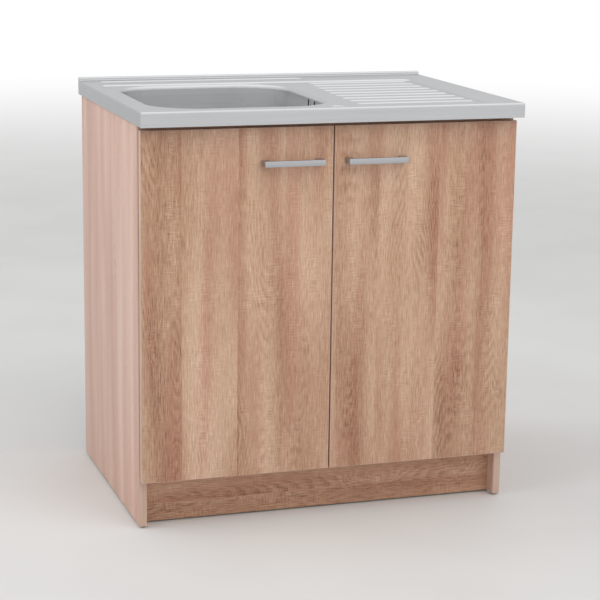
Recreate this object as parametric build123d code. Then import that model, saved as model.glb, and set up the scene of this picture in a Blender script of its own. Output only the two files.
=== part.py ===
from build123d import *
import math
import os

# Kitchen sink unit: a free-standing two-door base cabinet of melamine board with a pressed
# stainless steel sink top laid over it. Millimetres, +Z up, +X to the right, front towards -Y.
# The origin lies on the floor under the middle of the sink top.

# Overall
unit_width = 800.0
unit_depth = 600.0
rim_height = 850.0

# Sink top: sheet and rim
sheet = 0.8
apron = 30.0
rim_round = 5.0
end_round = 3.0
upstand_height = 7.0
upstand_depth = 12.0
upstand_round = 4.0
upstand_foot_round = 2.5
press_slope = 45.0

# Sink top: wet area, tap ledge and plug rest
tray_left_border = 22.0
tray_right_border = 67.0
tray_front_border = 20.0
tray_back_border = 110.0
tray_corner = 24.0
tray_depth = 3.0
ledge_left_border = 35.0
ledge_length = 465.0
ledge_back_border = 38.0
ledge_width = 59.0
ledge_corner = 18.0
ledge_depth = 2.0
rest_before_bowl_end = 6.0
rest_from_tray_front = 22.0
rest_radius = 17.0
rest_depth = 2.2

# Sink top: bowl
bowl_left_border = 50.0
bowl_length = 368.0
bowl_front_border = 68.0
bowl_back_border = 122.0
bowl_depth = 150.0
bowl_corner = 95.0
bowl_lean = 2.0
bowl_floor_round = 28.0
bowl_lip = 8.0

# Sink top: drainer grooves
groove_count = 9
groove_front_border = 63.0
groove_back_border = 23.0
groove_width = 22.0
groove_depth = 2.4
groove_slope = 35.0
groove_from_bowl = 47.0
groove_start_fan = 24.0
groove_end_border = 11.0

# Sink top: waste seat and overflow slots
seat_radius = 60.0
seat_depth = 2.5
waste_hole = 45.0
overflow_before_middle = 45.0
overflow_drop = 19.0
overflow_slot_height = 22.0
overflow_slot_width = 9.0
overflow_slot_pitch = 40.0

# Carcass
board = 16.0
side_inset = 4.0
back_inset = 18.0
glide_height = 4.0
glide_radius = 7.0
glide_from_end = 30.0
nail_radius = 1.2
nail_length = 14.0
door_inset = 28.0
door_buffer_gap = 4.0
door_bottom = 101.0
door_top_gap = 9.0
door_reveal = 1.0
door_middle_gap = 3.0
bottom_cover = 1.0
plinth_recess = 30.0
front_rail_height = 62.0
rail_clearance = 2.2
rear_rail_height = 80.0
stretcher_height = 100.0

# Knock-down fittings
cam_radius = 7.5
cam_length = 12.5
cam_distance = 34.0
cam_slot_radius = 4.2
bolt_radius = 3.0
bolt_head_radius = 3.6
bolt_head_length = 3.0
bolt_thread_radius = 2.5
bolt_thread_length = 11.0
bolt_hole_radius = 4.0
dowel_radius = 4.0
dowel_in_side = 12.0
dowel_in_board = 18.0
hole_play = 0.05
hole_end_play = 0.5

# Handles
handle_length = 126.0
handle_height = 12.0
handle_projection = 25.0
handle_bar = 8.0
handle_leg = 14.0
handle_outer_round = 2.0
handle_inner_round = 4.0
handle_from_middle = 87.5
handle_below_top = 70.0
handle_screw_radius = 2.0
handle_screw_grip = 10.0

# Hinges: a cup let into the door, with one pin that a goose-neck arm turns on
hinge_from_end = 95.0
cup_edge = 3.0
cup_bore_radius = 17.5
cup_bore_depth = 11.6
cup_radius = 17.4
cup_depth = 11.4
cup_floor = 0.8
cup_flange = 1.2
cup_flange_radius = 19.0
cup_wing_x = 24.0
cup_wing_width = 16.0
cup_wing_span = 62.0
cup_screw_span = 48.0
pocket_width = 10.4
pocket_wall = 1.4
hinge_pin_x = 7.3
hinge_pin_depth = 7.4
hinge_pin_radius = 1.2
hinge_pin_length = 16.0
hinge_running_play = 0.05
arm_width = 9.0
arm_thickness = 2.4
arm_eye_radius = 2.4
arm_end = 58.0
arm_bend_round = 2.8
plate_thickness = 2.2
plate_front = 14.0
plate_length = 42.0
plate_width = 18.0
plate_wing_setback = 37.0
plate_wing_length = 14.0
plate_wing_span = 46.0
plate_screw_span = 32.0
arm_screw_setback = 48.0

# Screws
wood_screw_radius = 1.8
wood_screw_bite = 11.0
screw_head_radius = 3.6
screw_head_height = 1.6

# Door buffers
buffer_radius = 4.0
buffer_air = 0.3
buffer_from_middle = 30.0

# Basket waste
flange_radius = 56.0
flange_thickness = 1.2
cup_wall = 1.2
strainer_radius = 43.5
strainer_depth = 40.0
strainer_hole_radius = 7.0
strainer_hole_circle = 27.0
strainer_hole_count = 6
basket_rim_radius = 46.0
basket_radius = 31.0
basket_depth = 24.0
basket_wall = 1.0
basket_hole_radius = 3.0
basket_hole_circle = 20.0
basket_hole_count = 8
seal_thickness = 2.0
knob_radius = 9.0
knob_height = 13.0
gasket_thickness = 2.5
gasket_width = 12.0
waste_wall = 3.0
waste_gap = 1.5
waste_drop = 10.0
spigot_radius = 24.0
spigot_length = 22.0
waste_inlet_radius = 12.0
clamp_screw_radius = 3.0
clamp_head_radius = 7.0
clamp_head_height = 3.0

# Overflow
overflow_gasket_thickness = 3.0
overflow_head_depth = 26.0
overflow_head_width = 64.0
overflow_head_height = 34.0
overflow_head_wall = 2.5
pipe_radius = 10.0
pipe_wall = 1.5
pipe_bend = 32.0
pipe_socket_depth = 8.0
pipe_socket_wall = 2.5
pipe_play = 0.2

# Bottle trap and drain pipe
trap_nut_radius = 31.0
trap_nut_height = 18.0
trap_tube_radius = 16.0
trap_tube_wall = 2.0
trap_tube_dip = 60.0
trap_body_radius = 34.0
trap_hang = 33.7
trap_body_height = 96.0
trap_wall = 3.0
trap_cup_height = 34.0
trap_cup_grip = 14.0
trap_neck_radius = 25.0
neck_nut_height = 14.0
collar_height = 3.0
rib_count = 12
rib_height = 1.5
rib_width = 3.0
drain_below_trap_top = 28.0
drain_radius = 20.0
drain_wall = 2.0
drain_reach = 8.0
drain_socket_length = 26.0
drain_nut_radius = 28.0
drain_nut_length = 18.0
bead_height = 1.5

# Places that follow from the sizes above
half_width = unit_width / 2
front_y = -unit_depth / 2
back_y = unit_depth / 2
apron_bottom = rim_height - apron
deck_z = rim_height - tray_depth
floor_z = deck_z - bowl_depth
tray_left = -half_width + tray_left_border
tray_right = half_width - tray_right_border
tray_front = front_y + tray_front_border
tray_back = back_y - tray_back_border
ledge_left = -half_width + ledge_left_border
ledge_right = ledge_left + ledge_length
ledge_back = back_y - ledge_back_border
ledge_front = ledge_back - ledge_width
bowl_left = -half_width + bowl_left_border
bowl_right = bowl_left + bowl_length
bowl_front = front_y + bowl_front_border
bowl_back = back_y - bowl_back_border
bowl_x = (bowl_left + bowl_right) / 2
bowl_y = (bowl_front + bowl_back) / 2
rest_x = bowl_right - rest_before_bowl_end
rest_y = tray_front + rest_from_tray_front
groove_first_y = tray_front + groove_front_border
groove_pitch = (tray_back - groove_back_border - groove_first_y) / (groove_count - 1)
groove_start_x = bowl_right + groove_from_bowl
groove_end_x = tray_right - groove_end_border
overflow_y = bowl_y - overflow_before_middle
carcass_half = half_width - side_inset
side_inner = carcass_half - board
carcass_back = back_y - back_inset
door_front = front_y + door_inset
door_back = door_front + board
carcass_front = door_back + door_buffer_gap
door_top = apron_bottom - door_top_gap
door_outer = carcass_half - door_reveal
door_inner = door_middle_gap / 2
bottom_low = door_bottom + bottom_cover
bottom_high = bottom_low + board
plinth_front = carcass_front + plinth_recess
carcass_top = rim_height - sheet
rail_top = deck_z - sheet - rail_clearance
hinge_heights = (door_bottom + hinge_from_end, door_top - hinge_from_end)
cup_x = cup_edge + cup_bore_radius
handle_z = door_top - handle_below_top
seat_z = floor_z - seat_depth
plate_x = door_outer - side_inner
waste_low = seat_z + flange_thickness - strainer_depth - waste_drop
spigot_end = waste_low - spigot_length
trap_body_top = spigot_end - trap_hang
drain_height = trap_body_top - drain_below_trap_top


def block(x, y, z):
    """Box between the low and high values of x, y and z."""
    middle = [(low + high) / 2 for low, high in (x, y, z)]
    size = [high - low for low, high in (x, y, z)]
    return Pos(*middle) * Box(*size)


def rod(radius, start, direction, length):
    """Round bar from a point along a direction."""
    return extrude(Plane(origin=start, z_dir=direction) * Circle(radius), amount=length)


def block_from(profile, low, high):
    """Upright prism over a flat profile between two heights."""
    return extrude(Pos(0, 0, low) * profile, amount=high - low, dir=(0, 0, 1))


def turned(points, centre):
    """Body of revolution about a vertical axis from (radius, height) corners."""
    outline = make_face(Plane.XZ * Polyline(*points, close=True))
    return Pos(centre[0], centre[1], 0) * revolve(outline, Axis.Z)


def mirrored(shape):
    """The same piece for the right-hand side."""
    return mirror(shape, about=Plane.YZ)


def both_sides(shape):
    """A left-hand piece with its right-hand twin, as two solids."""
    return Compound(shape.solids() + mirrored(shape).solids())


def save(name, *shapes):
    """Write one sub-part from its solids."""
    solids = [solid for shape in shapes for solid in shape.solids()]
    body = solids[0] if len(solids) == 1 else Compound(solids)
    export_step(body, f"parts/{name}.step")


# ---------------------------------------------------------------- sink top


def round_corner(face, corner, radius):
    """Round the corner of a flat profile that lies nearest to a point."""
    return fillet(face.vertices().sort_by_distance(Vector(*corner))[0], radius)


def rim_form(inset, low_z):
    """Outer form of the sink top with apron and upstand, drawn in by an inset."""
    front = front_y + inset
    back = back_y - inset
    top = rim_height - inset
    foot = back_y - upstand_depth + inset
    crest = top + upstand_height
    corners = [(front, low_z), (front, top), (foot, top), (foot, crest), (back, crest), (back, low_z)]
    profile = make_face(Polyline(*corners, close=True))
    profile = round_corner(profile, (front, top), rim_round - inset)
    profile = round_corner(profile, (foot, top), upstand_foot_round + inset)
    profile = round_corner(profile, (foot, crest), upstand_round - inset)
    profile = round_corner(profile, (back, crest), upstand_round - inset)
    half = half_width - inset
    body = extrude(Plane.YZ.offset(-half) * profile, amount=2 * half)
    ends = [edge for edge in body.edges()
            if abs(abs(edge.center().X) - half) < 0.01 and edge.center().Z > low_z + 0.01]
    return fillet(ends, end_round - inset)


def bowl_form(grow):
    """Hollow of the bowl with its waste seat, grown by a sheet thickness."""
    outline = RectangleRounded(bowl_right - bowl_left + 2 * grow, bowl_back - bowl_front + 2 * grow,
                               bowl_corner + grow)
    walls = extrude(Pos(bowl_x, bowl_y, deck_z) * outline, amount=-bowl_depth - grow, taper=bowl_lean)
    walls = fillet(walls.edges().group_by(Axis.Z)[0], bowl_floor_round + grow)
    seat_top = seat_radius + grow * math.tan(math.radians(press_slope / 2))
    seat = Cone(seat_top - seat_depth / math.tan(math.radians(press_slope)), seat_top, seat_depth)
    return walls + Pos(bowl_x, bowl_y, floor_z - grow - seat_depth / 2) * seat


def pressing(outline, top, depth, slope, grow):
    """Tool for a shallow pressed recess with sloped sides, grown by a sheet thickness."""
    spread = grow * math.tan(math.radians(slope / 2))
    return extrude(Pos(0, 0, top - grow) * outline(spread), amount=-depth, taper=90 - slope)


def tray_outline(spread):
    """Edge of the sunk wet area."""
    centre = Pos((tray_left + tray_right) / 2, (tray_front + tray_back) / 2)
    return centre * RectangleRounded(tray_right - tray_left + 2 * spread,
                                     tray_back - tray_front + 2 * spread, tray_corner + spread)


def ledge_outline(spread):
    """Edge of the tap ledge."""
    centre = Pos((ledge_left + ledge_right) / 2, (ledge_front + ledge_back) / 2)
    return centre * RectangleRounded(ledge_right - ledge_left + 2 * spread,
                                     ledge_back - ledge_front + 2 * spread, ledge_corner + spread)


def rest_outline(spread):
    """Edge of the round plug rest."""
    return Pos(rest_x, rest_y) * Circle(rest_radius + spread)


def groove_outline(index, spread):
    """Edge of one drainer groove; its left end keeps clear of the bowl's lip."""
    y = groove_first_y + index * groove_pitch
    share = index / (groove_count - 1)
    start = groove_start_x + groove_start_fan * share ** 2
    length = groove_end_x - start + 2 * spread
    return Pos((start + groove_end_x) / 2, y) * SlotOverall(length, groove_width + 2 * spread)


def pressings(grow):
    """All shallow recesses of the sink top except the wet area."""
    tools = [pressing(ledge_outline, rim_height, ledge_depth, press_slope, grow),
             pressing(rest_outline, deck_z, rest_depth, press_slope, grow)]
    for index in range(groove_count):
        tools.append(pressing(lambda spread, i=index: groove_outline(i, spread),
                              deck_z, groove_depth, groove_slope, grow))
    return tools


def bowl_mouth(body, z):
    """Edges where the bowl's walls meet the deck at a height."""
    return [edge for edge in body.edges()
            if abs(edge.center().Z - z) < 0.01
            and edge.center().X < bowl_right + 2
            and edge.center().X > bowl_left - 2
            and bowl_front - 2 < edge.center().Y < bowl_back + 2]


def overflow_slots():
    """Cutters for the two upright overflow slots in the bowl's right wall."""
    slot = SlotOverall(overflow_slot_height, overflow_slot_width)
    tools = []
    for side in (-0.5, 0.5):
        place = Plane(origin=(bowl_right - 12, overflow_y + side * overflow_slot_pitch,
                              deck_z - overflow_drop), x_dir=(0, 0, 1), z_dir=(1, 0, 0))
        tools.append(extrude(place * slot, amount=24))
    return tools


def overflow_screw_line():
    """Seat of the overflow screw on the bowl's leaning wall and its direction square to the wall."""
    lean = math.radians(bowl_lean)
    seat = Vector(bowl_right - overflow_drop * math.tan(lean), overflow_y, deck_z - overflow_drop)
    return seat, Vector(math.cos(lean), 0, -math.sin(lean))


def sink_top():
    """Pressed sheet: rim and apron, sunk wet area, bowl, drainer grooves and tap ledge."""
    wet = rim_form(0, apron_bottom) + bowl_form(sheet)
    wet -= pressing(tray_outline, rim_height, tray_depth, press_slope, 0)
    wet -= bowl_form(0)
    wet = fillet(bowl_mouth(wet, deck_z), bowl_lip)
    hollow = rim_form(sheet, apron_bottom - 1)
    hollow -= pressing(tray_outline, rim_height, tray_depth, press_slope, sheet)
    hollow -= bowl_form(sheet)
    hollow = fillet(bowl_mouth(hollow, deck_z - sheet), bowl_lip - sheet)
    for tool in pressings(0):
        wet -= tool
    for tool in pressings(sheet):
        hollow -= tool
    body = wet - hollow
    body -= rod(waste_hole, (bowl_x, bowl_y, seat_z - 5), (0, 0, 1), 10)
    for tool in overflow_slots():
        body -= tool
    seat, direction = overflow_screw_line()
    return body - rod(wood_screw_radius + hole_play, seat - direction * 3, direction, 6)


# ---------------------------------------------------------------- fittings in the boards


def cam_fitting(y, z, turn):
    """Left-hand cam joint: cam housing, bolt, and the cutters for side and board."""
    place = Location((-side_inner, y, z), (turn, 0, 0))
    mouth = board / 2
    cam = rod(cam_radius, (cam_distance, 0, mouth), (0, 0, -1), cam_length)
    cam -= rod(cam_slot_radius, (0, 0, 0), (1, 0, 0), cam_distance + cam_slot_radius)
    cam -= block((cam_distance - 1, cam_distance + 1), (-5, 5), (mouth - 1.5, mouth + 1))
    bolt = rod(bolt_thread_radius, (-bolt_thread_length, 0, 0), (1, 0, 0), bolt_thread_length)
    bolt += rod(bolt_radius, (0, 0, 0), (1, 0, 0), cam_distance)
    bolt += rod(bolt_head_radius, (cam_distance - bolt_head_length / 2, 0, 0), (1, 0, 0), bolt_head_length)
    side_hole = rod(bolt_thread_radius + hole_play, (-bolt_thread_length - hole_end_play, 0, 0),
                    (1, 0, 0), bolt_thread_length + hole_end_play + 1)
    board_hole = rod(bolt_hole_radius, (-1, 0, 0), (1, 0, 0), cam_distance + 1)
    cam_hole = rod(cam_radius + hole_play, (cam_distance, 0, mouth + 1), (0, 0, -1),
                   cam_length + hole_end_play + 1)
    return [place * cam, place * bolt, place * side_hole, place * (board_hole + cam_hole)]


def dowel_fitting(y, z):
    """Left-hand dowel across a side panel and a board, with its cutter."""
    start = -side_inner - dowel_in_side
    length = dowel_in_side + dowel_in_board
    dowel = rod(dowel_radius, (start, y, z), (1, 0, 0), length)
    hole = rod(dowel_radius + hole_play, (start - hole_end_play, y, z), (1, 0, 0),
               length + 2 * hole_end_play)
    return dowel, hole


def carcass_fittings():
    """Cams and dowels of the left side, sorted by the board they hold."""
    bottom_z = (bottom_low + bottom_high) / 2
    front_rail_y = carcass_front + board / 2
    rear_y = carcass_back - board / 2
    plinth_y = plinth_front + board / 2
    low_rail_z = bottom_high + stretcher_height / 2
    high_rail_z = carcass_top - rear_rail_height / 2
    front_rail_z = rail_top - front_rail_height / 2
    cams = {
        "bottom": [(carcass_front + 60, bottom_z, 180), (carcass_back - 70, bottom_z, 180)],
        "front_rail": [(front_rail_y, front_rail_z + 15, -90)],
        "rear_rail": [(rear_y, high_rail_z + 18, 90)],
        "stretcher": [(rear_y, low_rail_z + 22, 90)],
        "plinth": [],
    }
    dowels = {
        "bottom": [(carcass_front + 110, bottom_z), (carcass_back - 120, bottom_z)],
        "front_rail": [(front_rail_y, front_rail_z - 15)],
        "rear_rail": [(rear_y, high_rail_z - 18)],
        "stretcher": [(rear_y, low_rail_z - 22)],
        "plinth": [(plinth_y, glide_height + 25), (plinth_y, bottom_low - 25)],
    }
    return cams, dowels


def glide_places():
    """Centres of the floor glides under the left side panel."""
    x = -carcass_half + board / 2
    return [(x, carcass_front + glide_from_end), (x, carcass_back - glide_from_end)]


def carcass():
    """Side panels, bottom, rails, stretcher and plinth with their fittings."""
    cams, dowels = carcass_fittings()
    side = block((-carcass_half, -side_inner), (carcass_front, carcass_back), (glide_height, carcass_top))
    across = (-side_inner, side_inner)
    boards = {
        "bottom": block(across, (carcass_front, carcass_back), (bottom_low, bottom_high)),
        "front_rail": block(across, (carcass_front, carcass_front + board),
                            (rail_top - front_rail_height, rail_top)),
        "rear_rail": block(across, (carcass_back - board, carcass_back),
                           (carcass_top - rear_rail_height, carcass_top)),
        "stretcher": block(across, (carcass_back - board, carcass_back),
                           (bottom_high, bottom_high + stretcher_height)),
        "plinth": block(across, (plinth_front, plinth_front + board), (glide_height, bottom_low)),
    }
    cam_solids = []
    bolt_solids = []
    dowel_solids = []
    for name in boards:
        for y, z, turn in cams[name]:
            cam, bolt, side_hole, board_hole = cam_fitting(y, z, turn)
            cam_solids.append(both_sides(cam))
            bolt_solids.append(both_sides(bolt))
            side -= side_hole
            boards[name] -= board_hole
            boards[name] -= mirrored(board_hole)
        for y, z in dowels[name]:
            dowel, hole = dowel_fitting(y, z)
            dowel_solids.append(both_sides(dowel))
            side -= hole
            boards[name] -= hole
            boards[name] -= mirrored(hole)
    for z in hinge_heights:
        for tool in panel_screw_holes(z):
            side -= tool
    for x, y in glide_places():
        side -= rod(nail_radius + hole_play, (x, y, glide_height - 1), (0, 0, 1), nail_length)
    save("left_side_panel", side)
    save("right_side_panel", mirrored(side))
    save("bottom_panel", boards["bottom"])
    save("front_rail", boards["front_rail"])
    save("rear_upper_rail", boards["rear_rail"])
    save("rear_lower_rail", boards["stretcher"])
    save("plinth_board", boards["plinth"])
    save("cam_housings", *cam_solids)
    save("cam_bolts", *bolt_solids)
    save("wood_dowels", *dowel_solids)


def glides():
    """Nail-on floor glides and their nails."""
    discs = []
    nails = []
    for x, y in glide_places():
        disc = rod(glide_radius, (x, y, 0), (0, 0, 1), glide_height)
        disc = chamfer(disc.edges().group_by(Axis.Z)[0], 1)
        disc -= rod(nail_radius + hole_play, (x, y, glide_height / 2), (0, 0, 1), glide_height)
        nail = rod(nail_radius, (x, y, glide_height / 2), (0, 0, 1), nail_length - glide_height)
        discs.append(both_sides(disc))
        nails.append(both_sides(nail))
    save("floor_glides", *discs)
    save("glide_nails", *nails)


def buffers():
    """Soft buffers on the carcass front that the closed doors rest against."""
    solids = []
    for z in ((bottom_low + bottom_high) / 2, (door_top + rail_top - front_rail_height) / 2):
        disc = rod(buffer_radius, (-buffer_from_middle, carcass_front, z), (0, -1, 0),
                   door_buffer_gap - buffer_air)
        solids.append(both_sides(chamfer(disc.edges().group_by(Axis.Y)[0], 0.8)))
    save("door_buffers", *solids)


# ---------------------------------------------------------------- doors, handles and hinges


def screw(start, direction, head_radius, head_height, shank_radius, shank_length):
    """Pan-head screw: the head stands out of a face against the driving direction."""
    back = Vector(*direction) * -1
    return rod(head_radius, start, back, head_height) + rod(shank_radius, start, direction, shank_length)


def handle_screw_places():
    """Centres of the left door's handle screws."""
    reach = (handle_length - handle_leg) / 2
    return [(-handle_from_middle - reach, handle_z), (-handle_from_middle + reach, handle_z)]


def handle():
    """Left bow handle: a flat bar on two legs."""
    half = handle_length / 2
    outer = Rectangle(handle_length, handle_projection, align=(Align.CENTER, Align.MAX))
    inner = Rectangle(handle_length - 2 * handle_leg, handle_projection - handle_bar,
                      align=(Align.CENTER, Align.MAX))
    profile = outer - inner
    for corner, radius in (((-half, -handle_projection), handle_outer_round),
                           ((half, -handle_projection), handle_outer_round),
                           ((handle_leg - half, handle_bar - handle_projection), handle_inner_round),
                           ((half - handle_leg, handle_bar - handle_projection), handle_inner_round)):
        profile = round_corner(profile, corner, radius)
    place = Pos(-handle_from_middle, door_front, handle_z - handle_height / 2)
    body = extrude(place * profile, amount=handle_height)
    for x, z in handle_screw_places():
        body -= rod(handle_screw_radius + hole_play, (x, door_front + 1, z), (0, -1, 0),
                    handle_screw_grip + hole_end_play + 1)
    return body


def hinge_place(z):
    """Frame at the left door's back outer edge at a hinge's height."""
    return Pos(-door_outer, door_back, z)


def cup_screw_places():
    """Centres of a hinge cup's two screws in the hinge's own frame."""
    return [(cup_wing_x, -cup_screw_span / 2), (cup_wing_x, cup_screw_span / 2)]


def hinge_cup():
    """Hinge cup in its own frame: round body, winged flange and the arm's pocket."""
    body = rod(cup_radius, (cup_x, 0, 0), (0, -1, 0), cup_depth)
    disc = rod(cup_flange_radius, (cup_x, 0, 0), (0, 1, 0), cup_flange)
    wings = RectangleRounded(cup_wing_width, cup_wing_span, 5)
    face = Plane(origin=(cup_wing_x, 0, 0), x_dir=(1, 0, 0), z_dir=(0, 1, 0))
    body += disc + extrude(face * wings, amount=cup_flange)
    low_x = cup_x - cup_radius + pocket_wall
    high_x = cup_x + cup_radius - pocket_wall
    half = pocket_width / 2
    body -= block((low_x, high_x), (cup_floor - cup_depth, cup_flange + 1), (-half, half))
    body -= block((-1, high_x), (0, cup_flange + 1), (-half, half))
    reach = hinge_pin_length / 2 + hole_end_play
    body -= rod(hinge_pin_radius + hole_play, (hinge_pin_x, -hinge_pin_depth, -reach), (0, 0, 1), 2 * reach)
    for x, z in cup_screw_places():
        body -= rod(wood_screw_radius + hole_play, (x, -1, z), (0, 1, 0), cup_flange + 2)
    return body


def hinge_arm():
    """Goose-neck arm in the hinge's frame: eye, neck under the door's back, strip on the plate."""
    low_x = plate_x + plate_thickness
    high_x = low_x + arm_thickness
    low_y = -hinge_pin_depth - arm_thickness / 2
    high_y = low_y + arm_thickness
    corners = [(hinge_pin_x, low_y), (high_x, low_y), (high_x, arm_end), (low_x, arm_end),
               (low_x, high_y), (hinge_pin_x, high_y)]
    profile = make_face(Polyline(*corners, close=True))
    profile = round_corner(profile, (high_x, low_y), arm_bend_round)
    profile = round_corner(profile, (low_x, high_y), arm_bend_round - 2)
    half = arm_width / 2
    body = block_from(profile, -half, half)
    body += rod(arm_eye_radius, (hinge_pin_x, -hinge_pin_depth, -half), (0, 0, 1), arm_width)
    body -= rod(hinge_pin_radius + hinge_running_play, (hinge_pin_x, -hinge_pin_depth, -half - 1),
                (0, 0, 1), arm_width + 2)
    hole_y = door_buffer_gap + arm_screw_setback
    return body - rod(wood_screw_radius + hole_play, (low_x - 1, hole_y, 0), (1, 0, 0), arm_thickness + 2)


def hinge_plate():
    """Mounting plate on the side panel, in the hinge's frame."""
    low_y = plate_front
    wing_y = door_buffer_gap + plate_wing_setback
    bar = Pos(low_y + plate_length / 2, 0) * RectangleRounded(plate_length, plate_width, 3)
    wing = Pos(wing_y, 0) * RectangleRounded(plate_wing_length, plate_wing_span, 5)
    face = Plane(origin=(plate_x, 0, 0), x_dir=(0, 1, 0), z_dir=(1, 0, 0))
    body = extrude(face * (bar + wing), amount=plate_thickness)
    for start, _ in plate_screw_starts():
        body -= rod(wood_screw_radius + hole_play, (plate_x - 1, start[1], start[2]), (1, 0, 0),
                    plate_thickness + 2)
    return body


def plate_screw_starts():
    """Head seats of the two plate screws and the arm screw, with the depth to the panel."""
    wing_y = door_buffer_gap + plate_wing_setback
    face = plate_x + plate_thickness
    arm_face = face + arm_thickness
    starts = [((face, wing_y, side * plate_screw_span / 2), plate_thickness) for side in (-1, 1)]
    starts.append(((arm_face, door_buffer_gap + arm_screw_setback, 0), plate_thickness + arm_thickness))
    return starts


def panel_screw_holes(z):
    """Pilot holes in the left side panel for one hinge."""
    return [hinge_place(z) * rod(wood_screw_radius + hole_play, (plate_x + 1, start[1], start[2]),
                                 (-1, 0, 0), wood_screw_bite + hole_end_play + 1)
            for start, _ in plate_screw_starts()]


def doors_and_hinges():
    """Both doors with handles and hinges."""
    door = block((-door_outer, -door_inner), (door_front, door_back), (door_bottom, door_top))
    for x, z in handle_screw_places():
        door -= rod(handle_screw_radius + hole_play, (x, door_front - 1, z), (0, 1, 0), board + 2)
    cups = []
    pins = []
    arms = []
    plates = []
    cup_screws = []
    plate_screws = []
    for z in hinge_heights:
        place = hinge_place(z)
        door -= place * rod(cup_bore_radius, (cup_x, 1, 0), (0, -1, 0), cup_bore_depth + 1)
        cups.append(place * hinge_cup())
        pins.append(place * rod(hinge_pin_radius, (hinge_pin_x, -hinge_pin_depth, -hinge_pin_length / 2),
                                (0, 0, 1), hinge_pin_length))
        arms.append(place * hinge_arm())
        plates.append(place * hinge_plate())
        for x, height in cup_screw_places():
            door -= place * rod(wood_screw_radius + hole_play, (x, 1, height), (0, -1, 0),
                                wood_screw_bite + hole_end_play + 1)
            cup_screws.append(place * screw((x, cup_flange, height), (0, -1, 0), screw_head_radius,
                                            screw_head_height, wood_screw_radius,
                                            cup_flange + wood_screw_bite))
        for start, grip in plate_screw_starts():
            plate_screws.append(place * screw(start, (-1, 0, 0), screw_head_radius, screw_head_height,
                                              wood_screw_radius, grip + wood_screw_bite))
    handle_screws = [screw((x, door_back, z), (0, -1, 0), screw_head_radius, screw_head_height,
                           handle_screw_radius, board + handle_screw_grip)
                     for x, z in handle_screw_places()]
    one_side = {
        "door": [door],
        "handle": [handle()],
        "handle_screws": handle_screws,
        "hinge_cups": cups,
        "hinge_pins": pins,
        "cup_screws": cup_screws,
        "hinge_arms": arms,
    }
    for name, shapes in one_side.items():
        save(f"left_{name}", *shapes)
        save(f"right_{name}", *[mirrored(shape) for shape in shapes])
    save("hinge_plates", *[both_sides(plate) for plate in plates])
    save("hinge_plate_screws", *[both_sides(one) for one in plate_screws])


# ---------------------------------------------------------------- waste and basket


def hole_ring(count, circle, radius, low, high):
    """Cutters for a ring of holes round the waste's axis."""
    tools = []
    for index in range(count):
        angle = 2 * math.pi * index / count
        spot = (bowl_x + circle * math.cos(angle), bowl_y + circle * math.sin(angle), low)
        tools.append(rod(radius, spot, (0, 0, 1), high - low))
    return tools


def strainer():
    """Steel waste: flange on the bowl's seat and a perforated cup under it."""
    top = seat_z + flange_thickness
    low = top - strainer_depth
    floor = low + cup_wall
    inner = strainer_radius - cup_wall
    screw_hole = clamp_screw_radius + hole_play
    body = turned([(screw_hole, low), (strainer_radius, low), (strainer_radius, seat_z),
                   (flange_radius, seat_z), (flange_radius, top), (inner, top), (inner, floor),
                   (screw_hole, floor)], (bowl_x, bowl_y))
    for tool in hole_ring(strainer_hole_count, strainer_hole_circle, strainer_hole_radius,
                          low - 1, floor + 1):
        body -= tool
    return body


def basket_levels():
    """Underside, floor and rim height of the lift-out basket."""
    rim = seat_z + flange_thickness + seal_thickness + basket_wall
    low = rim - basket_depth
    return low, low + basket_wall, rim


def basket():
    """Perforated lift-out basket that hangs by its rim."""
    low, floor, rim = basket_levels()
    inner = basket_radius - basket_wall
    shell = turned([(0, low), (basket_radius, low), (basket_radius, rim - basket_wall),
                    (basket_rim_radius, rim - basket_wall), (basket_rim_radius, rim),
                    (inner, rim), (inner, floor), (0, floor)], (bowl_x, bowl_y))
    for tool in hole_ring(basket_hole_count, basket_hole_circle, basket_hole_radius, low - 1, floor + 1):
        shell -= tool
    return shell


def basket_seal():
    """Flat rubber ring under the basket's rim, on the strainer's flange."""
    high = basket_levels()[2] - basket_wall
    low = high - seal_thickness
    inner = basket_radius + pipe_play
    outer = basket_rim_radius - 1
    return turned([(inner, low), (outer, low), (outer, high), (inner, high)], (bowl_x, bowl_y))


def basket_knob():
    """Turned knob on the basket's floor."""
    _, floor, rim = basket_levels()
    stem = knob_radius / 3
    top = rim + knob_height
    return turned([(0, floor), (stem * 2, floor), (stem, floor + 6), (stem, top - 8),
                   (knob_radius, top - 4), (knob_radius, top - 1), (knob_radius - 1, top), (0, top)],
                  (bowl_x, bowl_y))


def waste_gasket():
    """Rubber ring between the bowl's underside and the waste body."""
    high = seat_z - sheet
    low = high - gasket_thickness
    inner = waste_hole + 1
    outer = waste_hole + gasket_width
    return turned([(inner, low), (outer, low), (outer, high), (inner, high)], (bowl_x, bowl_y))


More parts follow.
